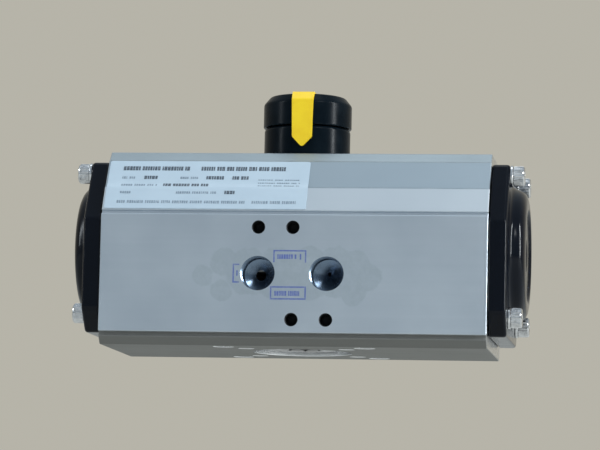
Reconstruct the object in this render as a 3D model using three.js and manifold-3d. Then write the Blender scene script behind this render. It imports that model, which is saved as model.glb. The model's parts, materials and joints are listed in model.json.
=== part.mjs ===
// Rack-and-pinion rotary pneumatic actuator: a double-acting quarter-turn drive for valves.
// Millimetres. X runs along the cylinder bore, -Y is the face with the air ports, +Z is up.
// The origin is on the output shaft's axis, in the bottom face that bolts to the valve.
// The rest pose is the closed one, with both pistons at the middle.

import * as THREE from "three";
import { mergeVertices } from "three/addons/utils/BufferGeometryUtils.js";
import Module from "manifold-3d";

const wasm = await Module();
wasm.setup();

// ---------------------------------------------------------------- driving dimensions

const BODY_LENGTH = 135; // extruded cylinder body, without its end caps
const BODY_HEIGHT = 69;
const BODY_HALF_DEPTH = 34.2;
const FACE_TOP = 45.6; // the upright front and back faces run from FACE_BOTTOM to FACE_TOP
const FACE_BOTTOM = 4.4;
const BORE_RADIUS = 26;
const BORE_Z = 35;

const PORT_Z = 25; // air ports and their bolt pattern, to VDI/VDE 3845
const PORT_SPACING = 24;
const PORT_BOLT_SPACING_Z = 32;
const PORT_BOLT_STEP = 12;
const ACCESSORY_SPACING_X = 80; // bolt pattern of the top face
const ACCESSORY_SPACING_Y = 30;
const VALVE_PATTERNS = [
  // bolt circles of the bottom face, to ISO 5211
  { circle: 50, holeRadius: 2.5, depth: 9 },
  { circle: 70, holeRadius: 3.4, depth: 12 },
];
const DRIVE_SQUARE = 11.1; // across the flats of the eight-point socket

const GEAR_MODULE = 1.25;
const GEAR_TEETH = 16;
const PRESSURE_ANGLE = THREE.MathUtils.degToRad(20);
const TOOTH_PLAY = 0.1; // taken off the thickness of each tooth
const ADDENDUM = 1.1;
const DEDENDUM = 1.45;

const SHAFT_TOP = BODY_HEIGHT + 20;
const CAP_THICKNESS = 6.4;
const CAP_DOME_HEIGHT = 5.6;
const SPIGOT_LENGTH = 4;

const STOP_X = 15.5; // travel stop screws, one each side of the shaft
const STOP_Z = 18.5;
const CAM_FACE = 4; // distance of the stop cam's two contact faces from the shaft's axis

const RUNNING_GAP = 0.1;
const SEAT_GAP = 0.1;
const BORE_SEGMENTS = 32; // shared by the bore and all that slides or seats in it
const SHAFT_SEGMENTS = 24; // shared by the output shaft and the rings round it

// ---------------------------------------------------------------- derived sizes

const BODY_END = BODY_LENGTH / 2;
const PITCH_RADIUS = (GEAR_MODULE * GEAR_TEETH) / 2;
const TOOTH_PITCH = Math.PI * GEAR_MODULE;
const TOOTH_THICKNESS = TOOTH_PITCH / 2 - TOOTH_PLAY;

const GEAR_Z = [25, 45];
const CAM_Z = [16, 21];
const JOURNAL_RADIUS = { bottom: 12.5, top: 9, end: 7.5 };

const CAP_SCREW_PLACES = [
  // y and z of an end cap's four screws
  [-17, 61.3],
  [17, 61.3],
  [-20.5, 11.5],
  [20.5, 11.5],
];
const CHANNEL = { y: -30.1, z: 34, radius: 1.6 }; // air channel along the front wall

// ---------------------------------------------------------------- colours and finishes

function finish(color, roughness, metalness) {
  return new THREE.MeshStandardMaterial({ color, roughness, metalness });
}

const anodised = finish(0x8f969c, 0.45, 0.85);
const blackPaint = finish(0x0c0e12, 0.25, 0.2);
const castAluminium = finish(0x9a9da0, 0.5, 0.9);
const bareSteel = finish(0x777a7c, 0.35, 1);
const stainless = finish(0xb9bcbf, 0.25, 1);
const blackRubber = finish(0x141414, 0.7, 0);
const blackPlastic = finish(0x0d1116, 0.4, 0);
const yellowPlastic = finish(0xe8c81a, 0.45, 0);
const bearingPlastic = finish(0xd8d4c4, 0.5, 0);
const labelFoil = finish(0xcfe2ee, 0.5, 0);

// ---------------------------------------------------------------- solids

// A geometry's closed surface as a solid. A profile drawn the other way round is turned to face out.
function solid(geometry) {
  const bare = new THREE.BufferGeometry().setAttribute("position", geometry.getAttribute("position"));
  bare.setIndex(geometry.index);
  const merged = mergeVertices(bare, 1e-4);
  const triVerts = new Uint32Array(merged.index.array);
  const vertProperties = new Float32Array(merged.attributes.position.array);
  const made = new wasm.Manifold(new wasm.Mesh({ numProp: 3, vertProperties, triVerts }));
  if (made.volume() >= 0) return made;
  for (let i = 0; i < triVerts.length; i += 3) {
    [triVerts[i + 1], triVerts[i + 2]] = [triVerts[i + 2], triVerts[i + 1]];
  }
  return new wasm.Manifold(new wasm.Mesh({ numProp: 3, vertProperties, triVerts }));
}

function geometryOf(made) {
  const mesh = made.getMesh();
  const geometry = new THREE.BufferGeometry();
  geometry.setAttribute("position", new THREE.BufferAttribute(new Float32Array(mesh.vertProperties), 3));
  geometry.setIndex(new THREE.BufferAttribute(new Uint32Array(mesh.triVerts), 1));
  geometry.computeVertexNormals();
  return geometry;
}

function joined(first, ...rest) {
  return rest.reduce((sum, next) => sum.add(next), first);
}

function cut(from, ...tools) {
  return tools.reduce((left, tool) => left.subtract(tool), from);
}

// A profile of [radius, height] points, from axis to axis or closed on itself, turned about Z.
function turnedZ(profile, segments) {
  const points = profile.map(([radius, height]) => new THREE.Vector2(radius, height));
  return solid(new THREE.LatheGeometry(points, segments).rotateX(Math.PI / 2));
}

// The same about the bore's axis, with heights along +X.
function turnedX(profile, segments) {
  const points = profile.map(([radius, height]) => new THREE.Vector2(radius, height));
  const geometry = new THREE.LatheGeometry(points, segments).rotateZ(-Math.PI / 2);
  return solid(geometry.translate(0, 0, BORE_Z));
}

// A plain ring about Z: a rectangle between two radii and two heights.
function ringProfile(inner, outer, low, high) {
  return [
    [inner, low],
    [outer, low],
    [outer, high],
    [inner, high],
    [inner, low],
  ];
}

function rodProfile(radius, low, high) {
  return [
    [0, low],
    [radius, low],
    [radius, high],
    [0, high],
  ];
}

// A round ring of circular section, for a seal.
function torus(radius, sectionRadius, ringSegments, sectionSegments = 6) {
  return new THREE.TorusGeometry(radius, sectionRadius, sectionSegments, ringSegments);
}

function rod(from, to, radius, segments = 16) {
  const start = new THREE.Vector3(...from);
  const along = new THREE.Vector3(...to).sub(start);
  const geometry = new THREE.CylinderGeometry(radius, radius, along.length(), segments);
  geometry.translate(0, along.length() / 2, 0);
  const up = new THREE.Vector3(0, 1, 0);
  geometry.applyQuaternion(new THREE.Quaternion().setFromUnitVectors(up, along.normalize()));
  return solid(geometry.translate(start.x, start.y, start.z));
}

function block(low, high) {
  const size = high.map((value, i) => value - low[i]);
  const geometry = new THREE.BoxGeometry(...size);
  return solid(geometry.translate(...low.map((value, i) => value + size[i] / 2)));
}

function shapeOf(points) {
  return new THREE.Shape(points.map(([x, y]) => new THREE.Vector2(x, y)));
}

function extruded(points, depth) {
  return new THREE.ExtrudeGeometry(shapeOf(points), { depth, bevelEnabled: false });
}

// An outline in y and z, extruded along X from one x to another.
function prismX(points, from, to) {
  const turn = new THREE.Matrix4().makeBasis(
    new THREE.Vector3(0, 1, 0),
    new THREE.Vector3(0, 0, 1),
    new THREE.Vector3(1, 0, 0),
  );
  return solid(extruded(points, to - from).applyMatrix4(turn).translate(from, 0, 0));
}

// An outline in x and y, extruded up Z.
function prismZ(points, from, to) {
  return solid(extruded(points, to - from).translate(0, 0, from));
}

// An outline in x and z, extruded along Y.
function prismY(points, from, to) {
  return solid(extruded(points, to - from).rotateX(Math.PI / 2).translate(0, to, 0));
}

// Both halves of an outline given for y below 0, from its bottom to its top.
function mirroredOutline(half) {
  const other = half.map(([y, z]) => [-y, z]).reverse();
  return [...half, ...other].reverse();
}

function polygon(radius, count, firstAngle = 0) {
  return Array.from({ length: count }, (_, i) => {
    const angle = firstAngle + (2 * Math.PI * i) / count;
    return [radius * Math.cos(angle), radius * Math.sin(angle)];
  });
}

// ---------------------------------------------------------------- scene graph helpers

const actuator = new THREE.Group();

function place(name, geometry, material, parent = actuator) {
  const mesh = new THREE.Mesh(geometry, material);
  mesh.name = name;
  parent.add(mesh);
  return mesh;
}

// A group turned half round about the shaft, which makes a right-hand piece a left-hand one.
function turnedGroup() {
  const group = new THREE.Group();
  group.rotation.z = Math.PI;
  actuator.add(group);
  return group;
}

const leftSide = turnedGroup();

// ---------------------------------------------------------------- cylinder body

// The shoulder runs from the front face's groove up to the chamfer at the top face.
const SHOULDER_LOW = [-33.4, 47];
const SHOULDER_HIGH = [-21.4, 65.6];

function bodyOutline() {
  const [lowY, lowZ] = SHOULDER_LOW;
  const [highY, highZ] = SHOULDER_HIGH;
  return mirroredOutline([
    [-30.6, 0],
    [-33.4, 2.8],
    [-32.9, 3.4],
    [-32.9, FACE_BOTTOM],
    [-BODY_HALF_DEPTH, FACE_BOTTOM],
    [-BODY_HALF_DEPTH, FACE_TOP],
    [-32.8, FACE_TOP],
    [-32.8, 46.4],
    [lowY, lowZ],
    [highY, highZ],
    [-20.8, 65.8],
    [-17.6, BODY_HEIGHT],
  ]);
}

function portTools() {
  const face = -BODY_HALF_DEPTH;
  const outside = face - 1;
  const left = -PORT_SPACING / 2;
  const right = PORT_SPACING / 2;
  const portDepth = 7;
  const tools = [left, right].map((x) => rod([x, outside, PORT_Z], [x, face + portDepth, PORT_Z], 5.8, 20));
  // The left port opens into the middle of the bore, the right one into the channel to both ends.
  tools.push(rod([left, face + portDepth - 1, PORT_Z], [left, -20, PORT_Z], 1.8, 12));
  tools.push(rod([right, CHANNEL.y, PORT_Z + 3], [right, CHANNEL.y, CHANNEL.z], 1.5, 10));
  tools.push(rod([-BODY_END - 1, CHANNEL.y, CHANNEL.z], [BODY_END + 1, CHANNEL.y, CHANNEL.z], CHANNEL.radius, 10));
  const rise = PORT_BOLT_SPACING_Z / 2;
  const boltPlaces = [
    [-PORT_BOLT_STEP, rise],
    [0, rise],
    [0, -rise],
    [PORT_BOLT_STEP, -rise],
  ];
  for (const [x, dz] of boltPlaces) {
    tools.push(rod([x, outside, PORT_Z + dz], [x, face + 6, PORT_Z + dz], 2.1, 10));
  }
  return tools;
}

function accessoryTools() {
  const tools = [];
  for (const x of [-ACCESSORY_SPACING_X / 2, ACCESSORY_SPACING_X / 2]) {
    for (const y of [-ACCESSORY_SPACING_Y / 2, ACCESSORY_SPACING_Y / 2]) {
      tools.push(rod([x, y, BODY_HEIGHT - 8], [x, y, BODY_HEIGHT + 1], 2.1, 10));
    }
  }
  return tools;
}

function valveTools() {
  return VALVE_PATTERNS.flatMap(({ circle, holeRadius, depth }) =>
    polygon(circle / 2, 4, Math.PI / 4).map(([x, y]) => rod([x, y, -1], [x, y, depth], holeRadius, 12)),
  );
}

function capScrewTools() {
  const threadDepth = 14;
  return [-1, 1].flatMap((side) =>
    CAP_SCREW_PLACES.map(([y, z]) =>
      rod([side * (BODY_END - threadDepth), y, z], [side * (BODY_END + 1), y, z], 2, 10),
    ),
  );
}

function stopTools() {
  const outside = BODY_HALF_DEPTH + 1;
  const seat = BODY_HALF_DEPTH - 1.6;
  return [-STOP_X, STOP_X].flatMap((x) => [
    rod([x, 12, STOP_Z], [x, outside, STOP_Z], 3.1, 12),
    rod([x, seat, STOP_Z], [x, outside, STOP_Z], 4.6, 14),
  ]);
}

function shaftTools() {
  const bearingSeat = JOURNAL_RADIUS.bottom + 1.8;
  const topSeat = JOURNAL_RADIUS.top + 1.6;
  return [
    turnedZ(rodProfile(17.5, -1, 2), SHAFT_SEGMENTS),
    turnedZ(rodProfile(JOURNAL_RADIUS.bottom + 0.15, 1, 6), SHAFT_SEGMENTS),
    turnedZ(rodProfile(bearingSeat, 5.2, 20), SHAFT_SEGMENTS),
    turnedZ(rodProfile(topSeat, 50, 66), SHAFT_SEGMENTS),
    turnedZ(rodProfile(JOURNAL_RADIUS.top + 0.15, 65, BODY_HEIGHT + 1), SHAFT_SEGMENTS),
  ];
}

function cylinderBody() {
  const outside = prismX(bodyOutline(), -BODY_END, BODY_END);
  const bore = turnedX(rodProfile(BORE_RADIUS, -BODY_END - 1, BODY_END + 1), BORE_SEGMENTS);
  const tools = [
    bore,
    ...shaftTools(),
    ...portTools(),
    ...accessoryTools(),
    ...valveTools(),
    ...capScrewTools(),
    ...stopTools(),
  ];
  return geometryOf(cut(outside, ...tools));
}

place("cylinder_body", cylinderBody(), anodised);

// ---------------------------------------------------------------- end caps, drawn for the right-hand end

function capOutline() {
  return mirroredOutline([
    [-25.6, 4.4],
    [-33.2, 12],
    [-33.2, 44],
    [-19.4, 65.2],
  ]);
}

function endCap(channelSide) {
  const inner = BODY_END;
  const flangeOut = inner + CAP_THICKNESS;
  const domeOut = flangeOut + CAP_DOME_HEIGHT;
  const plate = prismX(capOutline(), inner, flangeOut);
  const dome = turnedX(
    [
      [0, flangeOut - 1],
      [24.6, flangeOut - 1],
      [24.6, flangeOut],
      [23.4, flangeOut + 0.7],
      [23, domeOut - 2.6],
      [21.6, domeOut - 0.9],
      [17.5, domeOut],
      [4.5, domeOut],
      [4.5, domeOut - 1.4],
      [0, domeOut - 1.4],
    ],
    BORE_SEGMENTS,
  );
  const spigotRadius = BORE_RADIUS - 0.15;
  const spigot = turnedX(
    [
      [0, inner - SPIGOT_LENGTH],
      [spigotRadius, inner - SPIGOT_LENGTH],
      [spigotRadius, inner - 3],
      [spigotRadius - 1.7, inner - 3],
      [spigotRadius - 1.7, inner - 1],
      [spigotRadius, inner - 1],
      [spigotRadius, inner + 1],
      [0, inner + 1],
    ],
    BORE_SEGMENTS,
  );
  const hollow = turnedX(rodProfile(20.4, inner - SPIGOT_LENGTH - 1, domeOut - 3.4), BORE_SEGMENTS);
  const channelY = channelSide * CHANNEL.y;
  const passageX = inner + 3.6;
  const tools = CAP_SCREW_PLACES.map(([y, z]) => rod([inner - 1, y, z], [flangeOut + 1, y, z], 2.2, 10));
  tools.push(rod([inner - 1, channelY, CHANNEL.z], [passageX, channelY, CHANNEL.z], CHANNEL.radius, 10));
  tools.push(rod([passageX, channelY, CHANNEL.z], [passageX, channelSide * -18, CHANNEL.z], 1.2, 10));
  tools.push(rod([inner - 1, channelY, CHANNEL.z], [inner + 1, channelY, CHANNEL.z], 3, 14));
  return geometryOf(cut(joined(plate, dome, spigot), hollow, ...tools));
}

// An M4 socket head screw along +X, with the underside of its head at x 0.
function capScrew() {
  const headHeight = 4;
  const reach = 17;
  const body = joined(
    rod([0, 0, 0], [headHeight, 0, 0], 3.5, 16),
    rod([-reach, 0, 0], [0.5, 0, 0], 1.85, 8),
  );
  const corners = polygon(1.75, 6);
  return geometryOf(cut(body, prismX(corners, 1.8, headHeight + 1)));
}

function capWasher() {
  return geometryOf(cut(rod([0, 0, 0], [1, 0, 0], 3.8, 16), rod([-1, 0, 0], [2, 0, 0], 2.1, 8)));
}

function capGroup(side, parent, channelSide) {
  const flangeOut = BODY_END + CAP_THICKNESS;
  place(side + "_end_cap", endCap(channelSide), blackPaint, parent);
  CAP_SCREW_PLACES.forEach(([y, z], i) => {
    const washer = place(side + "_cap_washer_" + (i + 1), capWasher(), stainless, parent);
    washer.position.set(flangeOut, y, z);
    const screw = place(side + "_cap_screw_" + (i + 1), capScrew(), stainless, parent);
    screw.position.set(flangeOut + 1, y, z);
  });
  const ring = place(side + "_cap_oring", torus(BORE_RADIUS - 0.9, 0.75, BORE_SEGMENTS, 5), blackRubber, parent);
  ring.rotation.y = Math.PI / 2;
  ring.position.set(BODY_END - 2, 0, BORE_Z);
  const seal = place(side + "_channel_seal", torus(2.35, 0.4, 14, 5), blackRubber, parent);
  seal.rotation.y = Math.PI / 2;
  seal.position.set(BODY_END + 0.5, channelSide * CHANNEL.y, CHANNEL.z);
}

capGroup("right", actuator, 1);
capGroup("left", leftSide, -1);

// ---------------------------------------------------------------- bearings of the output shaft

function ringZ(inner, outer, low, high) {
  return geometryOf(turnedZ(ringProfile(inner, outer, low, high), SHAFT_SEGMENTS));
}

const bottomJournal = JOURNAL_RADIUS.bottom;
const topJournal = JOURNAL_RADIUS.top;

place("bottom_bearing", ringZ(bottomJournal + 0.16, bottomJournal + 1.7, 5.3, 9), bearingPlastic);
place("top_bearing", ringZ(topJournal + RUNNING_GAP, topJournal + 1.5, 61.2, 65.9), bearingPlastic);
place("inner_thrust_washer", ringZ(topJournal + 0.2, 11.4, 56.1, 57.3), bearingPlastic);
place("outer_thrust_washer", ringZ(topJournal + 0.2, 13, BODY_HEIGHT, BODY_HEIGHT + 1.4), bearingPlastic);

// ---------------------------------------------------------------- output shaft with its pinion

function involute(angle) {
  return Math.tan(angle) - angle;
}

// Half the angle that a pinion tooth fills at a radius.
function toothHalfAngle(radius) {
  const base = PITCH_RADIUS * Math.cos(PRESSURE_ANGLE);
  const slope = Math.acos(Math.min(1, base / radius));
  return TOOTH_THICKNESS / (2 * PITCH_RADIUS) + involute(PRESSURE_ANGLE) - involute(slope);
}

// One tooth points along -Y, where the right-hand piston's rack has a space.
function pinionOutline() {
  const base = PITCH_RADIUS * Math.cos(PRESSURE_ANGLE);
  const radii = [base + 0.001, PITCH_RADIUS - 0.2, PITCH_RADIUS + 0.45, PITCH_RADIUS + ADDENDUM];
  const root = PITCH_RADIUS - DEDENDUM;
  const flank = [[root, toothHalfAngle(base)], ...radii.map((radius) => [radius, toothHalfAngle(radius)])];
  const at = (radius, angle) => [radius * Math.cos(angle), radius * Math.sin(angle)];
  return Array.from({ length: GEAR_TEETH }, (_, tooth) => {
    const middle = -Math.PI / 2 + (2 * Math.PI * tooth) / GEAR_TEETH;
    const rising = flank.map(([radius, half]) => at(radius, middle - half));
    const falling = [...flank].reverse().map(([radius, half]) => at(radius, middle + half));
    return [...rising, ...falling];
  }).flat();
}

// The eight-point socket for the valve's square stem, which fits at any eighth of a turn.
function driveSocketOutline() {
  const half = DRIVE_SQUARE / 2;
  const outer = polygon(half * Math.SQRT2, 8);
  const inner = polygon(half / Math.cos(Math.PI / 8), 8, Math.PI / 8);
  return outer.flatMap((point, i) => [point, inner[i]]);
}

const COLLAR_FLAT = 11.4; // from the axis to a flat of the octagon that drives the stop cam

function octagon(flat) {
  return polygon(flat / Math.cos(Math.PI / 8), 8, Math.PI / 8);
}

function drivePinion() {
  const ringGroove = 71.3;
  const turned = turnedZ(
    [
      [0, 1],
      [bottomJournal - 0.6, 1],
      [bottomJournal, 1.6],
      [bottomJournal, 2.7],
      [10.9, 2.7],
      [10.9, 4.5],
      [bottomJournal, 4.5],
      [bottomJournal, CAM_Z[0] - 0.4],
      [10.6, CAM_Z[0] + 0.4],
      [10.6, CAM_Z[1]],
      [8, CAM_Z[1] + 1],
      [8, 50],
      [11.3, 52.5],
      [11.3, 56],
      [topJournal, 56],
      [topJournal, 66.8],
      [7.6, 66.8],
      [7.6, 68.3],
      [topJournal, 68.3],
      [topJournal, ringGroove],
      [8.2, ringGroove],
      [8.2, ringGroove + 1.2],
      [topJournal, ringGroove + 1.2],
      [topJournal, 73.4],
      [JOURNAL_RADIUS.end, 73.4],
      [JOURNAL_RADIUS.end, SHAFT_TOP - 0.8],
      [JOURNAL_RADIUS.end - 0.8, SHAFT_TOP],
      [0, SHAFT_TOP],
    ],
    SHAFT_SEGMENTS,
  );
  const gear = prismZ(pinionOutline(), ...GEAR_Z);
  const collar = prismZ(octagon(COLLAR_FLAT), CAM_Z[0] - 0.4, CAM_Z[1] + 0.4);
  const socket = prismZ(driveSocketOutline(), 0, 13);
  const thread = turnedZ(rodProfile(2.1, SHAFT_TOP - 14, SHAFT_TOP + 1), 12);
  const flatFrom = 77;
  const flats = [-1, 1].map((side) => {
    const low = side < 0 ? [-9, -9, flatFrom] : [-9, 5.5, flatFrom];
    const high = side < 0 ? [9, -5.5, SHAFT_TOP + 1] : [9, 9, SHAFT_TOP + 1];
    return block(low, high);
  });
  return geometryOf(cut(joined(turned, gear, collar), socket, thread, ...flats));
}

place("drive_pinion", drivePinion(), bareSteel);

// The cam's lug fills the quarter between its two contact faces. One meets the closed stop at
// rest, the other the open stop after a quarter turn.
function stopCam() {
  const hub = turnedZ(rodProfile(13.6, ...CAM_Z), SHAFT_SEGMENTS);
  const sweep = turnedZ(rodProfile(17, ...CAM_Z), BORE_SEGMENTS);
  const quarter = block([-20, -20, CAM_Z[0] - 1], [CAM_FACE, CAM_FACE, CAM_Z[1] + 1]);
  const hole = prismZ(octagon(COLLAR_FLAT + SEAT_GAP), CAM_Z[0] - 1, CAM_Z[1] + 1);
  return geometryOf(cut(joined(hub, sweep.intersect(quarter)), hole));
}

place("stop_cam", stopCam(), bareSteel);

const bottomSeal = place("bottom_shaft_oring", torus(11.7, 0.75, SHAFT_SEGMENTS, 5), blackRubber);
bottomSeal.position.z = 3.6;
const topSeal = place("top_shaft_oring", torus(8.35, 0.65, SHAFT_SEGMENTS, 5), blackRubber);
topSeal.position.z = 67.55;

place("steel_washer", ringZ(topJournal + 0.2, 12.4, BODY_HEIGHT + 1.45, 71.2), stainless);

// An external retaining ring: open over a tenth of a turn, with two ears.
function retainingRing() {
  const low = 71.4;
  const high = 72.4;
  const ring = turnedZ(ringProfile(8.3, 10.4, low, high), SHAFT_SEGMENTS);
  const ears = [-1, 1].map((side) => rod([side * 2.9, 10.4, low], [side * 2.9, 10.4, high], 1.7, 10));
  const gap = block([-1.3, 6, low - 1], [1.3, 14, high + 1]);
  const holes = [-1, 1].map((side) => rod([side * 3, 10.6, low - 1], [side * 3, 10.6, high + 1], 0.7, 8));
  const bore = turnedZ(rodProfile(8.3, low - 1, high + 1), SHAFT_SEGMENTS);
  return geometryOf(cut(joined(ring, ...ears), bore, gap, ...holes));
}

place("retaining_ring", retainingRing(), bareSteel);

// ---------------------------------------------------------------- position indicator

const INDICATOR_TOP = 91;
const POINTER_SEAT = 90.2;
const POINTER_SEAT_RADIUS = 14.6;

function pointerOutline(clearance) {
  return [
    [-3.9 - clearance, 93],
    [-3.5 - clearance, 75.2],
    [0, 71.5 - clearance],
    [3.5 + clearance, 75.2],
    [3.9 + clearance, 93],
  ];
}

// The hoop that the pointer follows over the cap and down both sides, in y and z.
function pointerHoop(outer, top, bevel) {
  return mirroredOutline([
    [-outer, 70.5],
    [-outer, top - bevel],
    [-outer + bevel * 0.83, top],
  ]);
}

function pointerSlot() {
  const band = prismY(pointerOutline(0.15), -20, 20);
  const inside = prismX(pointerHoop(POINTER_SEAT_RADIUS, POINTER_SEAT, 2.6), -9, 9);
  return cut(band, inside);
}

function indicatorBase() {
  const low = BODY_HEIGHT + 0.4;
  const high = 79.6;
  const turned = turnedZ(
    [
      [13.6, low],
      [15, low],
      [15.3, low + 0.4],
      [15.3, high - 0.5],
      [14.8, high],
      [JOURNAL_RADIUS.end + SEAT_GAP, high],
      [JOURNAL_RADIUS.end + SEAT_GAP, 73.8],
      [13.6, 73.8],
      [13.6, low],
    ],
    BORE_SEGMENTS,
  );
  return geometryOf(cut(turned, pointerSlot()));
}

function indicatorCap() {
  const low = 79.8;
  const turned = turnedZ(
    [
      [0, low],
      [15.2, low],
      [15.7, low + 0.5],
      [15.7, 88.4],
      [13.3, INDICATOR_TOP],
      [0, INDICATOR_TOP],
    ],
    BORE_SEGMENTS,
  );
  const round = turnedZ(rodProfile(JOURNAL_RADIUS.end + SEAT_GAP, low - 1, SHAFT_TOP + 0.1), SHAFT_SEGMENTS);
  const flatGap = 5.5 + SEAT_GAP;
  const slab = block([-9, -flatGap, low - 1], [9, flatGap, SHAFT_TOP + 1]);
  const screwHole = turnedZ(rodProfile(2.7, 88, 92), 12);
  return geometryOf(cut(turned, round.intersect(slab), screwHole, pointerSlot()));
}

function indicatorPointer() {
  const outside = prismX(pointerHoop(16.1, 91.6, 3), -9, 9);
  const inside = prismX(pointerHoop(POINTER_SEAT_RADIUS + 0.15, POINTER_SEAT + 0.1, 2.6), -10, 10);
  const below = block([-10, -POINTER_SEAT_RADIUS, 60], [10, POINTER_SEAT_RADIUS, 80]);
  const band = prismY(pointerOutline(0), -20, 20);
  const screwHole = turnedZ(rodProfile(2.9, 88, 95), 14);
  return geometryOf(cut(outside.intersect(band), inside, below, screwHole));
}

function indicatorScrew() {
  const seat = 91.65;
  const turned = turnedZ(
    [
      [0, 78],
      [2, 78],
      [2, seat],
      [3.7, seat],
      [3.7, seat + 0.6],
      [2.6, seat + 1.5],
      [0, seat + 1.5],
    ],
    14,
  );
  return geometryOf(cut(turned, prismZ(polygon(1.3, 6), seat + 0.3, seat + 3)));
}

place("indicator_base", indicatorBase(), blackPlastic);
place("indicator_cap", indicatorCap(), blackPlastic);
place("indicator_pointer", indicatorPointer(), yellowPlastic);
place("indicator_screw", indicatorScrew(), stainless);

// ---------------------------------------------------------------- pistons, drawn for the right-hand one

const HEAD_X = [30, 46];
const PISTON_RADIUS = BORE_RADIUS - 0.25;
const BAND_GROOVE = { x: [33, 38], floor: 24.2 };
const RING_GROOVE = { x: [41, 43.6], floor: 23.7 };
const ARM_END = -26;
const ARM_HALF_HEIGHT = 8.5;
const RACK_ROOT = -(PITCH_RADIUS + DEDENDUM);
const PAD_FLOOR = -23.6;

function pistonHead() {
  const [inner, outer] = HEAD_X;
  const [bandLow, bandHigh] = BAND_GROOVE.x;
  const [ringLow, ringHigh] = RING_GROOVE.x;
  return turnedX(
    [
      [0, inner],
      [PISTON_RADIUS - 0.5, inner],
      [PISTON_RADIUS, inner + 0.5],
      [PISTON_RADIUS, bandLow],
      [BAND_GROOVE.floor, bandLow],
      [BAND_GROOVE.floor, bandHigh],
      [PISTON_RADIUS, bandHigh],
      [PISTON_RADIUS, ringLow],
      [RING_GROOVE.floor, ringLow],
      [RING_GROOVE.floor, ringHigh],
      [PISTON_RADIUS, ringHigh],
      [PISTON_RADIUS, outer - 0.5],
      [PISTON_RADIUS - 0.5, outer],
      [19, outer],
      [18, outer - 8],
      [0, outer - 8],
    ],
    BORE_SEGMENTS,
  );
}

// Rack teeth from x -21.6 to x 5.9, in x and y. A space lies at x 0.
function rackOutline() {
  const halfAtPitch = TOOTH_THICKNESS / 2;
  const lean = Math.tan(PRESSURE_ANGLE);
  const halfAtRoot = halfAtPitch + DEDENDUM * lean;
  const halfAtTip = halfAtPitch - ADDENDUM * lean;
  const tip = -(PITCH_RADIUS - ADDENDUM);
  const teeth = Array.from({ length: 7 }, (_, i) => (1.5 - i) * TOOTH_PITCH);
  const crest = teeth.flatMap((x) => [
    [x + halfAtRoot, RACK_ROOT],
    [x + halfAtTip, tip],
    [x - halfAtTip, tip],
    [x - halfAtRoot, RACK_ROOT],
  ]);
  return [...crest, [ARM_END, RACK_ROOT], [ARM_END, -30], [HEAD_X[0] + 1, -30], [HEAD_X[0] + 1, RACK_ROOT]];
}

function piston() {
  const low = BORE_Z - ARM_HALF_HEIGHT;
  const high = BORE_Z + ARM_HALF_HEIGHT;
  const reach = turnedX(rodProfile(BORE_RADIUS - 0.5, ARM_END - 1, HEAD_X[0] + 2), BORE_SEGMENTS);
  const arm = prismZ(rackOutline(), low, high).intersect(reach);
  const padPocket = block([-24, -30, low + 1.5], [-4, PAD_FLOOR, high - 1.5]);
  return geometryOf(joined(pistonHead(), cut(arm, padPocket)));
}

function ringX(inner, outer, low, high) {
  return geometryOf(turnedX(ringProfile(inner, outer, low, high), BORE_SEGMENTS));
}

// The pad behind the rack that slides on the bore's wall.
function rackPad() {
  const low = BORE_Z - ARM_HALF_HEIGHT + 1.6;
  const high = BORE_Z + ARM_HALF_HEIGHT - 1.6;
  const reach = turnedX(rodProfile(BORE_RADIUS - RUNNING_GAP, -30, 0), BORE_SEGMENTS);
  const strip = block([-23.9, -30, low], [-4.1, PAD_FLOOR - SEAT_GAP, high]);
  return geometryOf(strip.intersect(reach));
}

function pistonGroup(side, parent) {
  place(side + "_piston", piston(), castAluminium, parent);
  const [bandLow, bandHigh] = BAND_GROOVE.x;
  const band = ringX(BAND_GROOVE.floor + 0.1, BORE_RADIUS - RUNNING_GAP, bandLow + 0.1, bandHigh - 0.1);
  place(side + "_piston_guide_band", band, bearingPlastic, parent);
  const ring = place(side + "_piston_oring", torus(24.85, 0.98, BORE_SEGMENTS, 5), blackRubber, parent);
  ring.rotation.y = Math.PI / 2;
  ring.position.set((RING_GROOVE.x[0] + RING_GROOVE.x[1]) / 2, 0, BORE_Z);
  place(side + "_piston_pad", rackPad(), bearingPlastic, parent);
}

pistonGroup("right", actuator);
pistonGroup("left", leftSide);

// ---------------------------------------------------------------- travel stops in the back wall

const STOP_GAP = 0.2;

// An M6 screw along +Y with a plain point, and a socket in its outer end.
function stopScrew() {
  const tip = CAM_FACE + STOP_GAP;
  const end = BODY_HALF_DEPTH + 8;
  const body = joined(rod([0, tip, 0], [0, 10, 0], 2.2, 12), rod([0, 9, 0], [0, end, 0], 2.9, 12));
  return geometryOf(cut(body, prismY(polygon(1.5, 6), end - 3, end + 1)));
}

function stopNut() {
  const low = BODY_HALF_DEPTH + 1;
  const high = low + 5;
  return geometryOf(cut(prismY(polygon(5.6, 6), low, high), rod([0, low - 1, 0], [0, high + 1, 0], 3, 12)));
}

function stopWasher() {
  const low = BODY_HALF_DEPTH;
  return geometryOf(cut(rod([0, low, 0], [0, low + 1, 0], 6, 20), rod([0, low - 1, 0], [0, low + 2, 0], 3.1, 12)));
}

[
  ["closed", -STOP_X],
  ["open", STOP_X],
].forEach(([name, x]) => {
  place(name + "_stop_screw", stopScrew(), stainless).position.set(x, 0, STOP_Z);
  place(name + "_stop_nut", stopNut(), stainless).position.set(x, 0, STOP_Z);
  place(name + "_stop_washer", stopWasher(), stainless).position.set(x, 0, STOP_Z);
  const seal = place(name + "_stop_oring", torus(3.78, 0.65, 14, 5), blackRubber);
  seal.rotation.x = Math.PI / 2;
  seal.position.set(x, BODY_HALF_DEPTH - 0.8, STOP_Z);
});

// ---------------------------------------------------------------- label on the front shoulder

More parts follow.
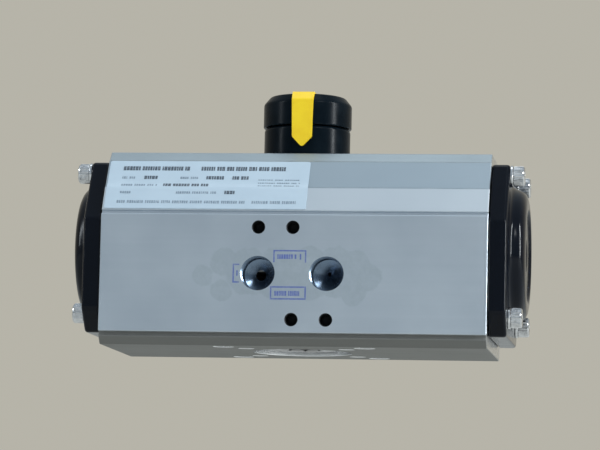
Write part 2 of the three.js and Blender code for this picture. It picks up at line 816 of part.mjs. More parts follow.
function label() {
  const [lowY, lowZ] = SHOULDER_LOW;
  const [highY, highZ] = SHOULDER_HIGH;
  const length = Math.hypot(highY - lowY, highZ - lowZ);
  const along = [(highY - lowY) / length, (highZ - lowZ) / length];
  const out = [-along[1], along[0]];
  const at = (distance, height) => [
    lowY + along[0] * distance + out[0] * height,
    lowZ + along[1] * distance + out[1] * height,
  ];
  const [start, end] = [0.2, length - 0.2];
  const outline = [at(start, 0.06), at(end, 0.06), at(end, 0.26), at(start, 0.26)];
  return geometryOf(prismX(outline, -66.8, 4.2));
}

place("label", label(), labelFoil);

export default actuator;
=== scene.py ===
"""The looks of a rack-and-pinion rotary pneumatic actuator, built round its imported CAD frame.

Shapes are written in millimetres and made in metres. X runs along the bore, -Y is the front with
the air ports, +Z is up, and the output shaft turns about Z.
"""

import json
import math
import random

import bmesh
import bpy
from mathutils import Matrix, Vector


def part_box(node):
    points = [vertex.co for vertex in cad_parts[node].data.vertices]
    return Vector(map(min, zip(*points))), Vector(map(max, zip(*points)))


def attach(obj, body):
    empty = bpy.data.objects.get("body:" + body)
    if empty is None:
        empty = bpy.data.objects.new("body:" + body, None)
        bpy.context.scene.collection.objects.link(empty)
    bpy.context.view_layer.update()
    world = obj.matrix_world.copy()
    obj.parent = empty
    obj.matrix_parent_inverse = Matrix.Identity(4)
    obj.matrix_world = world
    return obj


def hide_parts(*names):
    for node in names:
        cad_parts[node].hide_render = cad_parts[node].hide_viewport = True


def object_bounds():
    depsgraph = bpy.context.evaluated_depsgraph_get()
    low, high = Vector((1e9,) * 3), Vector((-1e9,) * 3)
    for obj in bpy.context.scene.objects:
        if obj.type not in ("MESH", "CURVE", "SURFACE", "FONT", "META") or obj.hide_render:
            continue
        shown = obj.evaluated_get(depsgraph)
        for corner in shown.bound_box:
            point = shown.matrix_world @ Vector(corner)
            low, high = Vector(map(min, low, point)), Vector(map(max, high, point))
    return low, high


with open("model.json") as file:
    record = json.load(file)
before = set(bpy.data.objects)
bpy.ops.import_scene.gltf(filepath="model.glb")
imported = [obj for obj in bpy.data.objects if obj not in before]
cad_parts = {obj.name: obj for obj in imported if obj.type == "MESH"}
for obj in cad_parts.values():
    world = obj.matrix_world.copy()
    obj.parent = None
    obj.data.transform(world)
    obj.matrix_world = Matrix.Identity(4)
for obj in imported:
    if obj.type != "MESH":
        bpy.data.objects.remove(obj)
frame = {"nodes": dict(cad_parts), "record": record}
cad_low, cad_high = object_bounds()
scene = bpy.context.scene
MM = 0.001


def box_mm(node):
    low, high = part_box(node)
    return low / MM, high / MM


def middle_mm(node):
    low, high = box_mm(node)
    return (low + high) / 2


# ---- sizes taken from the frame

body_low, body_high = box_mm("cylinder_body")
BODY_END = body_high.x
BODY_TOP = body_high.z
FACE_Y = body_low.y
cap_low, cap_high = box_mm("right_end_cap")
SPIGOT_END = cap_low.x
CAP_OUT = cap_high.x
FLANGE_OUT = box_mm("right_cap_washer_1")[0].x
BORE_Z = middle_mm("right_piston").z
BORE_RADIUS = 26.0
BORE_CENTRE = (0, 0, BORE_Z)
SHAFT_TOP = box_mm("drive_pinion")[1].z
PORT_Z = 25.0
PORT_X = 12.0
BOLT_HOLES = ((-12, 41), (0, 41), (0, 9), (12, 9))  # x and z round the air ports
VALVE_CIRCLES = (
    # circle radius, hole radius, depth and thread pitch of the four holes on each circle underneath
    (25, 2.5, 9, 1.0),
    (35, 3.4, 12, 1.25),
)
STOP_X = middle_mm("open_stop_screw").x
STOP_Z = middle_mm("open_stop_screw").z
SHOULDER_LOW = Vector((-33.4, 47.0))
SHOULDER_HIGH = Vector((-21.4, 65.6))
SHOULDER_DIRECTION = (SHOULDER_HIGH - SHOULDER_LOW).normalized()
SHOULDER_OUT = Vector((-SHOULDER_DIRECTION.y, SHOULDER_DIRECTION.x))
SHOULDER_LENGTH = (SHOULDER_HIGH - SHOULDER_LOW).length
BAND_SPLIT = 9.9  # where the lower, more upright band of the shoulder ends
BAND_RISE = 0.45


# ---- mesh helpers


def closed_mesh(name, vertices, faces):
    """A mesh object from points in millimetres, with its faces turned outward."""
    mesh = bpy.data.meshes.new(name)
    mesh.from_pydata([tuple(c * MM for c in v) for v in vertices], [], faces)
    work = bmesh.new()
    work.from_mesh(mesh)
    bmesh.ops.recalc_face_normals(work, faces=work.faces)
    work.to_mesh(mesh)
    work.free()
    obj = bpy.data.objects.new(name, mesh)
    scene.collection.objects.link(obj)
    return obj


def finish_shading(obj, angle=28, weighted=True):
    """Smooth faces with hard edges above the angle, and flat faces kept flat."""
    obj.data.shade_smooth()
    obj.data.set_sharp_from_angle(angle=math.radians(angle))
    if weighted:
        modifier = obj.modifiers.new("flat_faces", "WEIGHTED_NORMAL")
        modifier.keep_sharp = True
        modifier.weight = 100
    return obj


def along(axis, u, v, height):
    """A point of a section (u, v) at a height along an axis."""
    if axis == "X":
        return (height, u, v)
    if axis == "Y":
        return (u, height, v)
    return (u, v, height)


def arc(centre, start, end, steps):
    """Points from start to end round a centre, for an arc under half a turn."""
    first, last = start - centre, end - centre
    turn = first.angle(last)
    if turn < 1e-5:
        return [start, end]
    points = []
    for k in range(steps + 1):
        share = k / steps
        mix = math.sin((1 - share) * turn) * first + math.sin(share * turn) * last
        points.append(centre + mix / math.sin(turn))
    return points


def rounded(corners, steps=4):
    """A closed outline from (u, v, radius) corners, with each corner rounded."""
    points = []
    for i, (u, v, radius) in enumerate(corners):
        here = Vector((u, v))
        before = Vector(corners[i - 1][:2]) - here
        after = Vector(corners[(i + 1) % len(corners)][:2]) - here
        half = before.angle(after) / 2
        if radius <= 0 or half > math.radians(89):
            points.append(here)
            continue
        reach = min(radius / math.tan(half), 0.48 * before.length, 0.48 * after.length)
        radius = reach * math.tan(half)
        a, b = before.normalized(), after.normalized()
        centre = here + (a + b).normalized() * (radius / math.sin(half))
        points += arc(centre, here + a * reach, here + b * reach, steps)
    return points


def mirrored(half):
    """A whole outline from its half at negative u, listed from bottom to top."""
    return half + [(-u, v, r) for u, v, r in reversed(half)]


def signed_area(points):
    return sum(a.cross(b) for a, b in zip(points, points[1:] + points[:1])) / 2


def inset(points, distance):
    """An outline moved inward by a distance."""
    if distance == 0:
        return points
    side = 1 if signed_area(points) > 0 else -1
    moved = []
    for i, here in enumerate(points):
        first = (here - points[i - 1]).normalized()
        second = (points[(i + 1) % len(points)] - here).normalized()
        n1 = Vector((-first.y, first.x)) * side
        n2 = Vector((-second.y, second.x)) * side
        across = (n1 + n2).normalized()
        moved.append(here + across * distance / max(0.35, across.dot(n1)))
    return moved


def prism(name, points, low, high, axis="X", edge=0.0, steps=3):
    """A section extruded along an axis, with its two end edges rounded."""
    turns = quarter(edge, steps)
    rings = [(edge * (1 - math.sin(a)), low + edge * (1 - math.cos(a))) for a in turns]
    rings += [(i, low + high - h) for i, h in reversed(rings)]
    vertices, faces = [], []
    count = len(points)
    for distance, height in rings:
        vertices += [along(axis, p.x, p.y, height) for p in inset(points, distance)]
    for r in range(len(rings) - 1):
        for i in range(count):
            j = (i + 1) % count
            faces.append((r * count + i, r * count + j, (r + 1) * count + j, (r + 1) * count + i))
    faces.append(tuple(range(count)))
    faces.append(tuple(range((len(rings) - 1) * count, len(rings) * count)))
    return closed_mesh(name, vertices, faces)


def quarter(edge, steps):
    if edge == 0:
        return [math.pi / 2]
    return [math.pi / 2 * k / steps for k in range(steps + 1)]


def lathe(name, profile, segments=96, axis="Z", centre=(0, 0, 0), ripple=None):
    """A (radius, height) profile turned about an axis, from axis to axis or closed on itself."""
    loop = abs(profile[0][0] - profile[-1][0]) < 1e-9 and profile[0][1] == profile[-1][1]
    if loop:
        profile = profile[:-1]
    vertices, rows, faces = [], [], []
    for radius, height in profile:
        if radius < 1e-9:
            rows.append([len(vertices)] * segments)
            vertices.append(along(axis, 0, 0, height))
            continue
        rows.append(list(range(len(vertices), len(vertices) + segments)))
        for k in range(segments):
            angle = 2 * math.pi * k / segments
            r = radius + (ripple(height, k) if ripple else 0)
            vertices.append(along(axis, r * math.cos(angle), r * math.sin(angle), height))
    pairs = list(zip(rows, rows[1:]))
    if loop:
        pairs.append((rows[-1], rows[0]))
    for one, two in pairs:
        for k in range(segments):
            n = (k + 1) % segments
            face = []
            for corner in (one[k], one[n], two[n], two[k]):
                if corner not in face:
                    face.append(corner)
            if len(face) > 2:
                faces.append(tuple(face))
    moved = [tuple(a + b for a, b in zip(v, centre)) for v in vertices]
    return closed_mesh(name, moved, faces)


def block(name, low, high):
    (x0, y0, z0), (x1, y1, z1) = low, high
    corners = [Vector(p) for p in ((x0, y0), (x1, y0), (x1, y1), (x0, y1))]
    return prism(name, corners, z0, z1, "Z")


def polar(radius, angle):
    return Vector((radius * math.cos(angle), radius * math.sin(angle)))


def regular(radius, count, first=0.0):
    turn = 2 * math.pi / count
    return [polar(radius, first + turn * i) for i in range(count)]


def shifted(points, u, v):
    return [p + Vector((u, v)) for p in points]


def joined(objects):
    """Separate closed shells as one mesh object."""
    work = bmesh.new()
    for obj in objects:
        work.from_mesh(obj.data)
    work.to_mesh(objects[0].data)
    work.free()
    for obj in objects[1:]:
        bpy.data.objects.remove(obj)
    return objects[0]


def combined(obj, others, operation):
    """A boolean of a piece with others, which are used up."""
    for other in others:
        modifier = obj.modifiers.new("boolean", "BOOLEAN")
        modifier.operation = operation
        modifier.solver = "MANIFOLD"
        modifier.object = other
    bpy.context.view_layer.update()
    graph = bpy.context.evaluated_depsgraph_get()
    mesh = bpy.data.meshes.new_from_object(obj.evaluated_get(graph))
    obj.modifiers.clear()
    obj.data = mesh
    for other in others:
        bpy.data.objects.remove(other)
    return obj


def cut(obj, *tools):
    return combined(obj, tools, "DIFFERENCE")


def united(obj, *others):
    return combined(obj, others, "UNION")


def common(obj, *others):
    return combined(obj, others, "INTERSECT")


def hole(radius, mouth, bottom, chamfer, axis, place, thread=0.0, segments=40):
    """A tool for a drilled hole from its mouth to its bottom, with a chamfer and thread grooves."""
    way = 1 if bottom > mouth else -1
    start = mouth - way * 1.0
    wide = radius + chamfer
    profile = [(0, start), (wide + 1.0, start), (wide, mouth), (radius, mouth + way * chamfer)]
    if thread:
        depth = chamfer + thread / 2
        while depth + thread < abs(bottom - mouth) - 0.5:
            profile.append((radius, mouth + way * depth))
            profile.append((radius + 0.45 * thread, mouth + way * (depth + 0.4 * thread)))
            profile.append((radius, mouth + way * (depth + 0.8 * thread)))
            depth += thread
    profile.append((radius, bottom))
    profile.append((0, bottom + way * radius * 0.5))
    return lathe("tool", profile, segments, axis, place)


# ---- material helpers


class Tree:
    """Short ways to add nodes to a material or the world, which starts with its own nodes."""

    def __init__(self, owner):
        owner.use_nodes = True
        self.nodes = owner.node_tree.nodes
        self.links = owner.node_tree.links

    def node(self, kind, inputs=None, **settings):
        made = self.nodes.new(kind)
        for key, value in settings.items():
            setattr(made, key, value)
        for key, value in (inputs or {}).items():
            self.feed(made.inputs[key], value)
        return made

    def feed(self, socket, value):
        if isinstance(value, bpy.types.NodeSocket):
            self.links.new(value, socket)
        else:
            socket.default_value = value

    def math(self, operation, a, b=0.0):
        made = self.node("ShaderNodeMath", operation=operation)
        self.feed(made.inputs[0], a)
        self.feed(made.inputs[1], b)
        return made.outputs[0]

    def times(self, a, b):
        return self.math("MULTIPLY", a, b)

    def plus(self, a, b):
        return self.math("ADD", a, b)

    def length(self, a, b):
        return self.math("SQRT", self.plus(self.times(a, a), self.times(b, b)))

    def span(self, value, from_low, from_high, to_low=0.0, to_high=1.0):
        inputs = {"Value": value, "From Min": from_low, "From Max": from_high}
        inputs |= {"To Min": to_low, "To Max": to_high}
        return self.node("ShaderNodeMapRange", inputs).outputs["Result"]

    def mix(self, factor, a, b):
        made = self.node("ShaderNodeMix", data_type="RGBA")
        self.feed(made.inputs["Factor"], factor)
        self.feed(made.inputs[6], a if isinstance(a, bpy.types.NodeSocket) else (*a, 1))
        self.feed(made.inputs[7], b if isinstance(b, bpy.types.NodeSocket) else (*b, 1))
        return made.outputs[2]


class Material(Tree):
    """A procedural material: a Principled shader and the nodes that drive it."""

    def __init__(self, name, color, metallic=0.0, roughness=0.5):
        self.material = bpy.data.materials.new(name)
        super().__init__(self.material)
        self.shader = self.nodes["Principled BSDF"]
        self.shader.inputs["Base Color"].default_value = (*color, 1)
        self.shader.inputs["Metallic"].default_value = metallic
        self.shader.inputs["Roughness"].default_value = roughness
        self.material.diffuse_color = (*color, 1)
        self.coordinates = self.nodes.new("ShaderNodeTexCoord").outputs["Object"]

    def scaled(self, scale):
        inputs = {"Vector": self.coordinates, "Scale": scale}
        return self.node("ShaderNodeMapping", inputs).outputs["Vector"]

    def noise(self, scale, detail=3.0, rough=0.55, stretch=None):
        vector = self.scaled(stretch) if stretch else self.coordinates
        inputs = {"Vector": vector, "Scale": scale, "Detail": detail, "Roughness": rough}
        return self.node("ShaderNodeTexNoise", inputs).outputs["Fac"]

    def set(self, socket, value):
        self.feed(self.shader.inputs[socket], value)

    def color(self, value):
        self.set("Base Color", value)

    def rough(self, value):
        self.set("Roughness", value)

    def bump(self, height, strength, distance):
        previous = self.shader.inputs["Normal"]
        inputs = {"Height": height, "Strength": strength, "Distance": distance}
        made = self.node("ShaderNodeBump", inputs)
        if previous.is_linked:
            self.links.new(previous.links[0].from_socket, made.inputs["Normal"])
        self.links.new(made.outputs["Normal"], previous)

    def edges(self, radius):
        """About 1 along outer and inner edges, and 0 on open faces."""
        bevel = self.node("ShaderNodeBevel", {"Radius": radius}, samples=4)
        plain = self.node("ShaderNodeNewGeometry").outputs["Normal"]
        product = self.node("ShaderNodeVectorMath", operation="DOT_PRODUCT")
        self.links.new(bevel.outputs["Normal"], product.inputs[0])
        self.links.new(plain, product.inputs[1])
        return self.span(product.outputs["Value"], 0.995, 0.88)

    def vary(self, noise, low=0.0, high=1.0):
        """The noise's usual range spread from low to high."""
        return self.span(noise, 0.3, 0.7, low, high)

    def part(self, axis):
        split = self.node("ShaderNodeSeparateXYZ", {"Vector": self.coordinates})
        return split.outputs[axis]


CUTTER_FEED = 0.0007  # metres between the underside's milling arcs
STAIN_BLOTS = (  # x, z and radius
    (-31.0, 24.0, 4.0), (-24.6, 18.6, 4.1), (-23.8, 28.8, 5.4), (-15.0, 25.5, 8.6),
    (-5.0, 25.0, 9.4), (6.0, 25.0, 9.6), (15.5, 25.5, 9.2), (21.5, 27.0, 6.4), (26.6, 24.0, 5.0),
    (21.5, 18.5, 4.8),
)


def anodised_material():
    """Matte silver anodising on an extrusion: fine grain, faint draw lines and handling marks."""
    m = Material("anodised_aluminium", (0.42, 0.43, 0.44), 0.75, 0.42)
    cloud = m.noise(28, 4, 0.6)
    lines = m.noise(260, 3, 0.6, stretch=(0.02, 1.0, 1.0))
    grain = m.noise(5200, 2, 0.6)
    base = m.mix(m.vary(cloud), (0.435, 0.49, 0.545), (0.485, 0.54, 0.59))
    base = m.mix(m.span(lines, 0.35, 0.75, 0.0, 0.35), base, (0.385, 0.44, 0.495))
    plain = base
    # The stain round the ports is a row of overlapping round blots, where pads were taken off.
    x, z = m.part("X"), m.part("Z")
    ragged = m.span(m.noise(230, 3, 0.6), 0.3, 0.7, -0.0006, 0.0006)
    patch = None
    for blot_x, blot_z, radius in STAIN_BLOTS:
        across = m.math("SUBTRACT", x, blot_x * MM)
        up = m.math("SUBTRACT", z, blot_z * MM)
        away = m.length(across, up)
        inside = m.span(m.plus(away, ragged), radius * MM, (radius - 0.7) * MM)
        patch = m.math("MAXIMUM", patch, inside) if patch else inside
    on_front = m.span(m.part("Y"), (FACE_Y + 0.3) * MM, (FACE_Y + 0.1) * MM, 0.0, 1.0)
    patch = m.times(patch, on_front)
    patch = m.times(patch, m.span(m.noise(420, 3, 0.7), 0.3, 0.65, 0.3, 0.7))
    base = m.mix(patch, base, (0.36, 0.415, 0.455))
    # Painted light and shade: the shoulder's lower band is lighter, its upper band and lip darker.
    split = (SHOULDER_LOW + SHOULDER_DIRECTION * BAND_SPLIT).y * MM
    height = m.part("Z")
    over = m.span(height, (SHOULDER_LOW.y - 0.5) * MM, SHOULDER_LOW.y * MM)
    upper = m.span(height, split, split + 0.00005)
    lip_painted_shade = m.span(height, 0.0653, 0.0655)
    base = m.mix(over, base, m.mix(0.5, base, (0.62, 0.67, 0.70)))
    base = m.mix(upper, base, m.mix(0.6, base, (0.205, 0.275, 0.325)))
    base = m.mix(lip_painted_shade, base, m.mix(0.6, base, (0.24, 0.275, 0.285)))
    base = m.mix(m.span(height, 0.0688, 0.0689), base, plain)
    # The milled underside is duller and less metallic, and painted shade darkens it to brown.
    under = m.span(height, 0.0046, 0.0043)
    base = m.mix(under, base, m.mix(0.85, base, (0.10, 0.092, 0.072)))
    worn = m.times(m.edges(0.0004), m.span(m.noise(150, 4, 0.7), 0.42, 0.62))
    # Edge wear is damped on the underside so that it does not lighten the painted shade there.
    worn = m.times(worn, m.span(under, 0.0, 1.0, 1.0, 0.25))
    base = m.mix(m.times(worn, 0.6), base, (0.80, 0.81, 0.82))
    m.color(base)
    m.set("Metallic", m.span(under, 0.0, 1.0, 0.75, 0.3))
    rough = m.plus(m.vary(cloud, 0.38, 0.46), m.times(under, 0.22))
    rough = m.plus(rough, m.vary(lines, -0.03, 0.03))
    rough = m.plus(rough, m.times(patch, 0.08))
    rough = m.math("SUBTRACT", rough, m.times(worn, 0.14))
    m.rough(rough)
    across = m.plus(x, 0.11)
    sweep = m.length(across, m.part("Y"))
    wave = m.math("SINE", m.times(sweep, 2 * math.pi / CUTTER_FEED))
    arcs = m.times(wave, under)
    m.bump(grain, 0.14, 0.00003)
    m.bump(lines, 0.10, 0.00005)
    m.bump(arcs, 0.10, 0.00002)
    return m.material


def machined_material(name, color, roughness):
    """Bare turned metal: fine tool rings, oil film and small stains."""
    m = Material(name, color, 1.0, roughness)
    rings = m.noise(2600, 2, 0.5)
    stain = m.noise(120, 4, 0.6)
    dark = tuple(c * 0.72 for c in color)
    m.color(m.mix(m.span(stain, 0.45, 0.75, 0.0, 0.6), color, dark))
    rough = m.vary(stain, roughness - 0.05, roughness + 0.09)
    m.rough(m.plus(rough, m.vary(rings, -0.03, 0.03)))
    m.bump(rings, 0.12, 0.00004)
    return m.material


def steel_material():
    """Turned and milled alloy steel with a light oil film and rub marks along its edges."""
    m = Material("machined_steel", (0.36, 0.36, 0.37), 1.0, 0.32)
    rings = m.noise(1500, 2, 0.5, stretch=(1.0, 1.0, 0.03))
    stain = m.noise(90, 5, 0.65)
    base = m.mix(m.span(stain, 0.4, 0.7), (0.37, 0.37, 0.38), (0.25, 0.24, 0.235))
    worn = m.times(m.edges(0.0004), m.span(m.noise(240, 3, 0.7), 0.4, 0.6))
    m.color(m.mix(worn, base, (0.62, 0.62, 0.63)))
    m.rough(m.plus(m.vary(stain, 0.26, 0.42), m.vary(rings, -0.04, 0.04)))
    m.bump(rings, 0.16, 0.00005)
    return m.material


def stainless_material():
    """Bright cold-headed stainless fasteners."""
    m = Material("bright_stainless", (0.58, 0.585, 0.59), 1.0, 0.14)
    cloud = m.noise(600, 4, 0.6)
    fine = m.noise(4500, 2, 0.6)
    m.color(m.mix(m.span(cloud, 0.4, 0.75), (0.66, 0.67, 0.68), (0.42, 0.425, 0.43)))
    m.rough(m.plus(m.vary(cloud, 0.09, 0.22), m.vary(fine, -0.03, 0.03)))
    m.bump(fine, 0.1, 0.00002)
    return m.material


def cap_material():
    """Gloss black powder paint on a die casting: orange peel, dust and rubbed edges."""
    m = Material("black_powder_paint", (0.007, 0.008, 0.010), 0.0, 0.2)
    peel = m.noise(900, 2, 0.5)
    broad = m.noise(140, 3, 0.5)
    dust = m.span(m.noise(2600, 5, 0.8), 0.66, 0.74)
    film = m.span(m.noise(60, 4, 0.6), 0.35, 0.75, 0.0, 0.35)
    base = m.mix(film, (0.0012, 0.0024, 0.0055), (0.0035, 0.0058, 0.011))
    base = m.mix(m.times(dust, 0.25), base, (0.12, 0.12, 0.115))
    worn = m.times(m.edges(0.0003), m.span(m.noise(260, 4, 0.7), 0.56, 0.68))
    m.color(m.mix(m.times(worn, 0.45), base, (0.22, 0.22, 0.22)))
    m.rough(m.plus(m.span(film, 0.0, 0.35, 0.09, 0.2), m.times(dust, 0.3)))
    m.set("Specular IOR Level", 0.15)
    m.bump(peel, 0.12, 0.00009)
    m.bump(broad, 0.08, 0.00015)
    return m.material


def black_plastic_material():
    """Semi-gloss black moulded plastic with a fine spark-eroded texture."""
    m = Material("black_moulded_plastic", (0.012, 0.013, 0.015), 0.0, 0.3)
    fine = m.noise(3800, 3, 0.6)
    cloud = m.noise(110, 4, 0.6)
    m.set("Specular IOR Level", 0.05)
    base = m.mix(m.span(cloud, 0.35, 0.7), (0.0012, 0.0035, 0.006), (0.003, 0.0065, 0.010))
    worn = m.times(m.edges(0.0003), m.span(m.noise(400, 3, 0.7), 0.45, 0.65))
    m.color(m.mix(m.times(worn, 0.4), base, (0.07, 0.09, 0.10)))
    m.rough(m.plus(m.vary(cloud, 0.17, 0.28), m.vary(fine, -0.03, 0.03)))
    m.bump(fine, 0.12, 0.00003)
    return m.material


def yellow_plastic_material():
    m = Material("yellow_moulded_plastic", (0.86, 0.60, 0.03), 0.0, 0.34)
    cloud = m.noise(160, 4, 0.6)
    fine = m.noise(3200, 3, 0.6)
    base = m.mix(m.vary(cloud), (0.93, 0.66, 0.014), (0.86, 0.56, 0.008))
    grime = m.times(m.edges(0.0004), m.span(m.noise(500, 4, 0.7), 0.4, 0.65))
    m.color(m.mix(m.times(grime, 0.35), base, (0.45, 0.30, 0.03)))
    m.rough(m.vary(cloud, 0.28, 0.4))
    m.bump(fine, 0.1, 0.00003)
    return m.material


def rubber_material():
    m = Material("nitrile_rubber", (0.018, 0.018, 0.018), 0.0, 0.62)
    cloud = m.noise(900, 4, 0.6)
    m.color(m.mix(m.span(cloud, 0.35, 0.7), (0.014, 0.014, 0.014), (0.035, 0.035, 0.034)))
    m.rough(m.vary(cloud, 0.5, 0.72))
    m.bump(cloud, 0.15, 0.00003)
    return m.material


def acetal_material():
    m = Material("natural_acetal", (0.70, 0.67, 0.58), 0.0, 0.42)
    cloud = m.noise(240, 4, 0.6)
    turned = m.noise(2400, 2, 0.5)
    m.color(m.mix(m.span(cloud, 0.3, 0.75), (0.72, 0.69, 0.60), (0.58, 0.54, 0.45)))
    m.rough(m.vary(cloud, 0.36, 0.5))
    m.bump(turned, 0.1, 0.00003)
    return m.material


def cast_material():
    """Die-cast aluminium: a fine skin with flow marks, grey and slightly mottled."""
    m = Material("die_cast_aluminium", (0.46, 0.465, 0.47), 0.9, 0.46)
    cloud = m.noise(75, 5, 0.65)
    skin = m.noise(1400, 4, 0.65)
    m.color(m.mix(m.vary(cloud), (0.50, 0.505, 0.51), (0.36, 0.365, 0.37)))
    m.rough(m.plus(m.vary(cloud, 0.4, 0.54), m.vary(skin, -0.04, 0.04)))
    m.bump(skin, 0.25, 0.00006)
    return m.material


def foil_material():
    """A coated paper-foil label: slight waves and small scuffs."""
    m = Material("label_foil", (0.66, 0.72, 0.76), 0.0, 0.4)
    cloud = m.noise(70, 4, 0.6)
    scuff = m.span(m.noise(620, 5, 0.75, stretch=(0.3, 1.0, 1.0)), 0.60, 0.70)
    base = m.mix(m.vary(cloud), (0.45, 0.55, 0.63), (0.415, 0.51, 0.59))
    m.color(m.mix(m.times(scuff, 0.3), base, (0.50, 0.54, 0.57)))
    m.rough(m.vary(cloud, 0.34, 0.5))
    m.bump(cloud, 0.12, 0.0002)
    return m.material


def ink_material(name, color, faded, amount):
    """Printed ink with small gaps where it has worn thin."""
    m = Material(name, color, 0.0, 0.5)
    gaps = m.span(m.noise(1500, 4, 0.75), 0.50, 0.66, 0.0, amount)
    m.color(m.mix(gaps, color, faded))
    m.rough(m.span(gaps, 0.0, 1.0, 0.45, 0.6))
    m.bump(gaps, 0.1, 0.00001)
    return m.material


anodised = anodised_material()
machined_metal = machined_material("machined_aluminium", (0.66, 0.67, 0.68), 0.22)
# The port threads are darkened as painted shade inside the ports.
port_thread_shade_metal = machined_material("port_thread_painted_shade", (0.16, 0.215, 0.29), 0.22)
# The bolt holes are near black: partly oxide, partly painted shade in the deep threaded holes.
hole_oxide_and_shade_metal = machined_material("drilled_hole_oxide_and_painted_shade", (0.035, 0.037, 0.04), 0.55)
steel = steel_material()
stainless = stainless_material()
cap_paint = cap_material()
black_plastic = black_plastic_material()
yellow_plastic = yellow_plastic_material()
rubber = rubber_material()
acetal = acetal_material()
cast = cast_material()
foil = foil_material()
dark_ink = ink_material("dark_ink", (0.055, 0.075, 0.10), (0.45, 0.50, 0.54), 0.45)
grey_ink = ink_material("grey_ink", (0.20, 0.26, 0.32), (0.55, 0.60, 0.64), 0.5)
blue_ink = ink_material("blue_ink", (0.09, 0.13, 0.36), (0.30, 0.34, 0.42), 0.6)


def dress(obj, body, slot_name, material, *replaced, angle=None):
    """A finished piece: its material, body and the CAD nodes it stands for. The slot name is not
    used.

    Its faces are smoothed where they meet at less than the angle, when one is given.
    """
    obj.data.materials.clear()
    obj.data.materials.append(material)
    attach(obj, body)
    if replaced:
        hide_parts(*replaced)
    return finish_shading(obj, angle) if angle else obj


# ---- camera, light and stage

CAMERA_PLACE = Vector((0.1507, -1.1698, -0.0828))
CAMERA_ROLL = math.radians(1.26)
CAMERA_LENS = 200
AIM_SHIFT = Vector((-0.002, -0.004, -0.001))  # from the middle of the object
ROOM_BEHIND = (0.47, 0.455, 0.395)
ROOM_IN_FRONT = (0.39, 0.45, 0.505)
ROOM_ABOVE = (0.50, 0.58, 0.65)
FLOOR_REACH = 6000
FLOOR_HEIGHT = -100


def place_camera():
    data = bpy.data.cameras.new("camera")
    data.lens = CAMERA_LENS
    camera = bpy.data.objects.new("camera", data)
    scene.collection.objects.link(camera)
    target = (cad_low + cad_high) / 2 + AIM_SHIFT
    look = (target - CAMERA_PLACE).to_track_quat("-Z", "Y").to_matrix()
    turn = (look @ Matrix.Rotation(CAMERA_ROLL, 3, "Z")).to_4x4()
    camera.matrix_world = Matrix.Translation(CAMERA_PLACE) @ turn
    scene.camera = camera


def area_light(name, place, target, size, power, color):
    data = bpy.data.lights.new(name, "AREA")
    data.shape = "RECTANGLE"
    data.size, data.size_y = size
    data.energy = power
    data.color = color
    light = bpy.data.objects.new(name, data)
    scene.collection.objects.link(light)
    place, target = Vector(place), Vector(target)
    light.location = place
    light.rotation_mode = "QUATERNION"
    light.rotation_quaternion = (target - place).to_track_quat("-Z", "Y")
    return light


def make_world():
    """A soft room: pale and warm behind the object, cooler in front and brighter above."""
    scene.world = bpy.data.worlds.new("studio")
    tree = Tree(scene.world)
    background = tree.nodes["Background"]
    direction = tree.node("ShaderNodeTexCoord").outputs["Generated"]
    split = tree.node("ShaderNodeSeparateXYZ", {"Vector": direction})

    def fade(axis, low, high):
        inputs = {"Value": split.outputs[axis], "From Min": low, "From Max": high}
        made = tree.node("ShaderNodeMapRange", inputs, interpolation_type="SMOOTHSTEP")
        return made.outputs["Result"]

    sides = tree.mix(fade("Y", 0.35, -0.55), ROOM_BEHIND, ROOM_IN_FRONT)
    tree.feed(background.inputs["Color"], tree.mix(fade("Z", 0.35, 0.95), sides, ROOM_ABOVE))
    background.inputs["Strength"].default_value = 1.0


def make_floor():
    r = FLOOR_REACH
    corners = [(x, y, FLOOR_HEIGHT) for x, y in ((-r, -r), (r, -r), (r, r), (-r, r))]
    mesh = bpy.data.meshes.new("floor")
    mesh.from_pydata([tuple(c * MM for c in p) for p in corners], [], [(0, 1, 2, 3)])
    floor = bpy.data.objects.new("floor", mesh)
    scene.collection.objects.link(floor)
    m = Material("pale_floor", (0.64, 0.63, 0.595), 0.0, 0.8)
    cloud = m.noise(3, 3, 0.5)
    m.color(m.mix(m.vary(cloud), (0.66, 0.65, 0.615), (0.62, 0.61, 0.575)))
    # Seen from below, the floor lets the view through to the object's underside.
    clear = m.node("ShaderNodeBsdfTransparent")
    both = m.node("ShaderNodeMixShader")
    m.links.new(m.node("ShaderNodeNewGeometry").outputs["Backfacing"], both.inputs["Fac"])
    m.links.new(m.shader.outputs["BSDF"], both.inputs[1])
    m.links.new(clear.outputs["BSDF"], both.inputs[2])
    m.links.new(both.outputs["Shader"], m.nodes["Material Output"].inputs["Surface"])
    floor.data.materials.append(m.material)


scene.view_settings.view_transform = "Standard"
place_camera()
make_world()
make_floor()
area_light("key_softbox", (0.78, -0.86, 0.8), (0, 0, 0.04), (0.34, 0.34), 4.2, (0.93, 0.97, 1.0))
area_light("ceiling_softbox", (0.05, 0.05, 1.2), (0, 0, 0.04), (0.9, 0.5), 2.0, (0.92, 0.97, 1.0))
area_light("left_softbox", (-1.5, -0.6, 0.7), (0, 0, 0.04), (0.16, 1.0), 8.0, (0.88, 0.95, 1.0))
area_light("right_softbox", (1.7, -0.3, 0.55), (0, 0, 0.04), (0.12, 1.1), 32.0, (0.92, 0.97, 1.0))


# ---- cylinder body

MACHINED_SLOT, DRILLED_SLOT, THREAD_SLOT = 1, 2, 3
PORT_REACH, BOLT_REACH = 6.05, 2.9  # how far the faces of a port and a bolt hole reach
REGISTER_REACH, BORE_REACH = 17.6, 27.3


def shoulder_point(distance, height):
    """A point on the front shoulder: a distance up its slope, and a height above it."""
    return SHOULDER_LOW + SHOULDER_DIRECTION * distance + SHOULDER_OUT * height


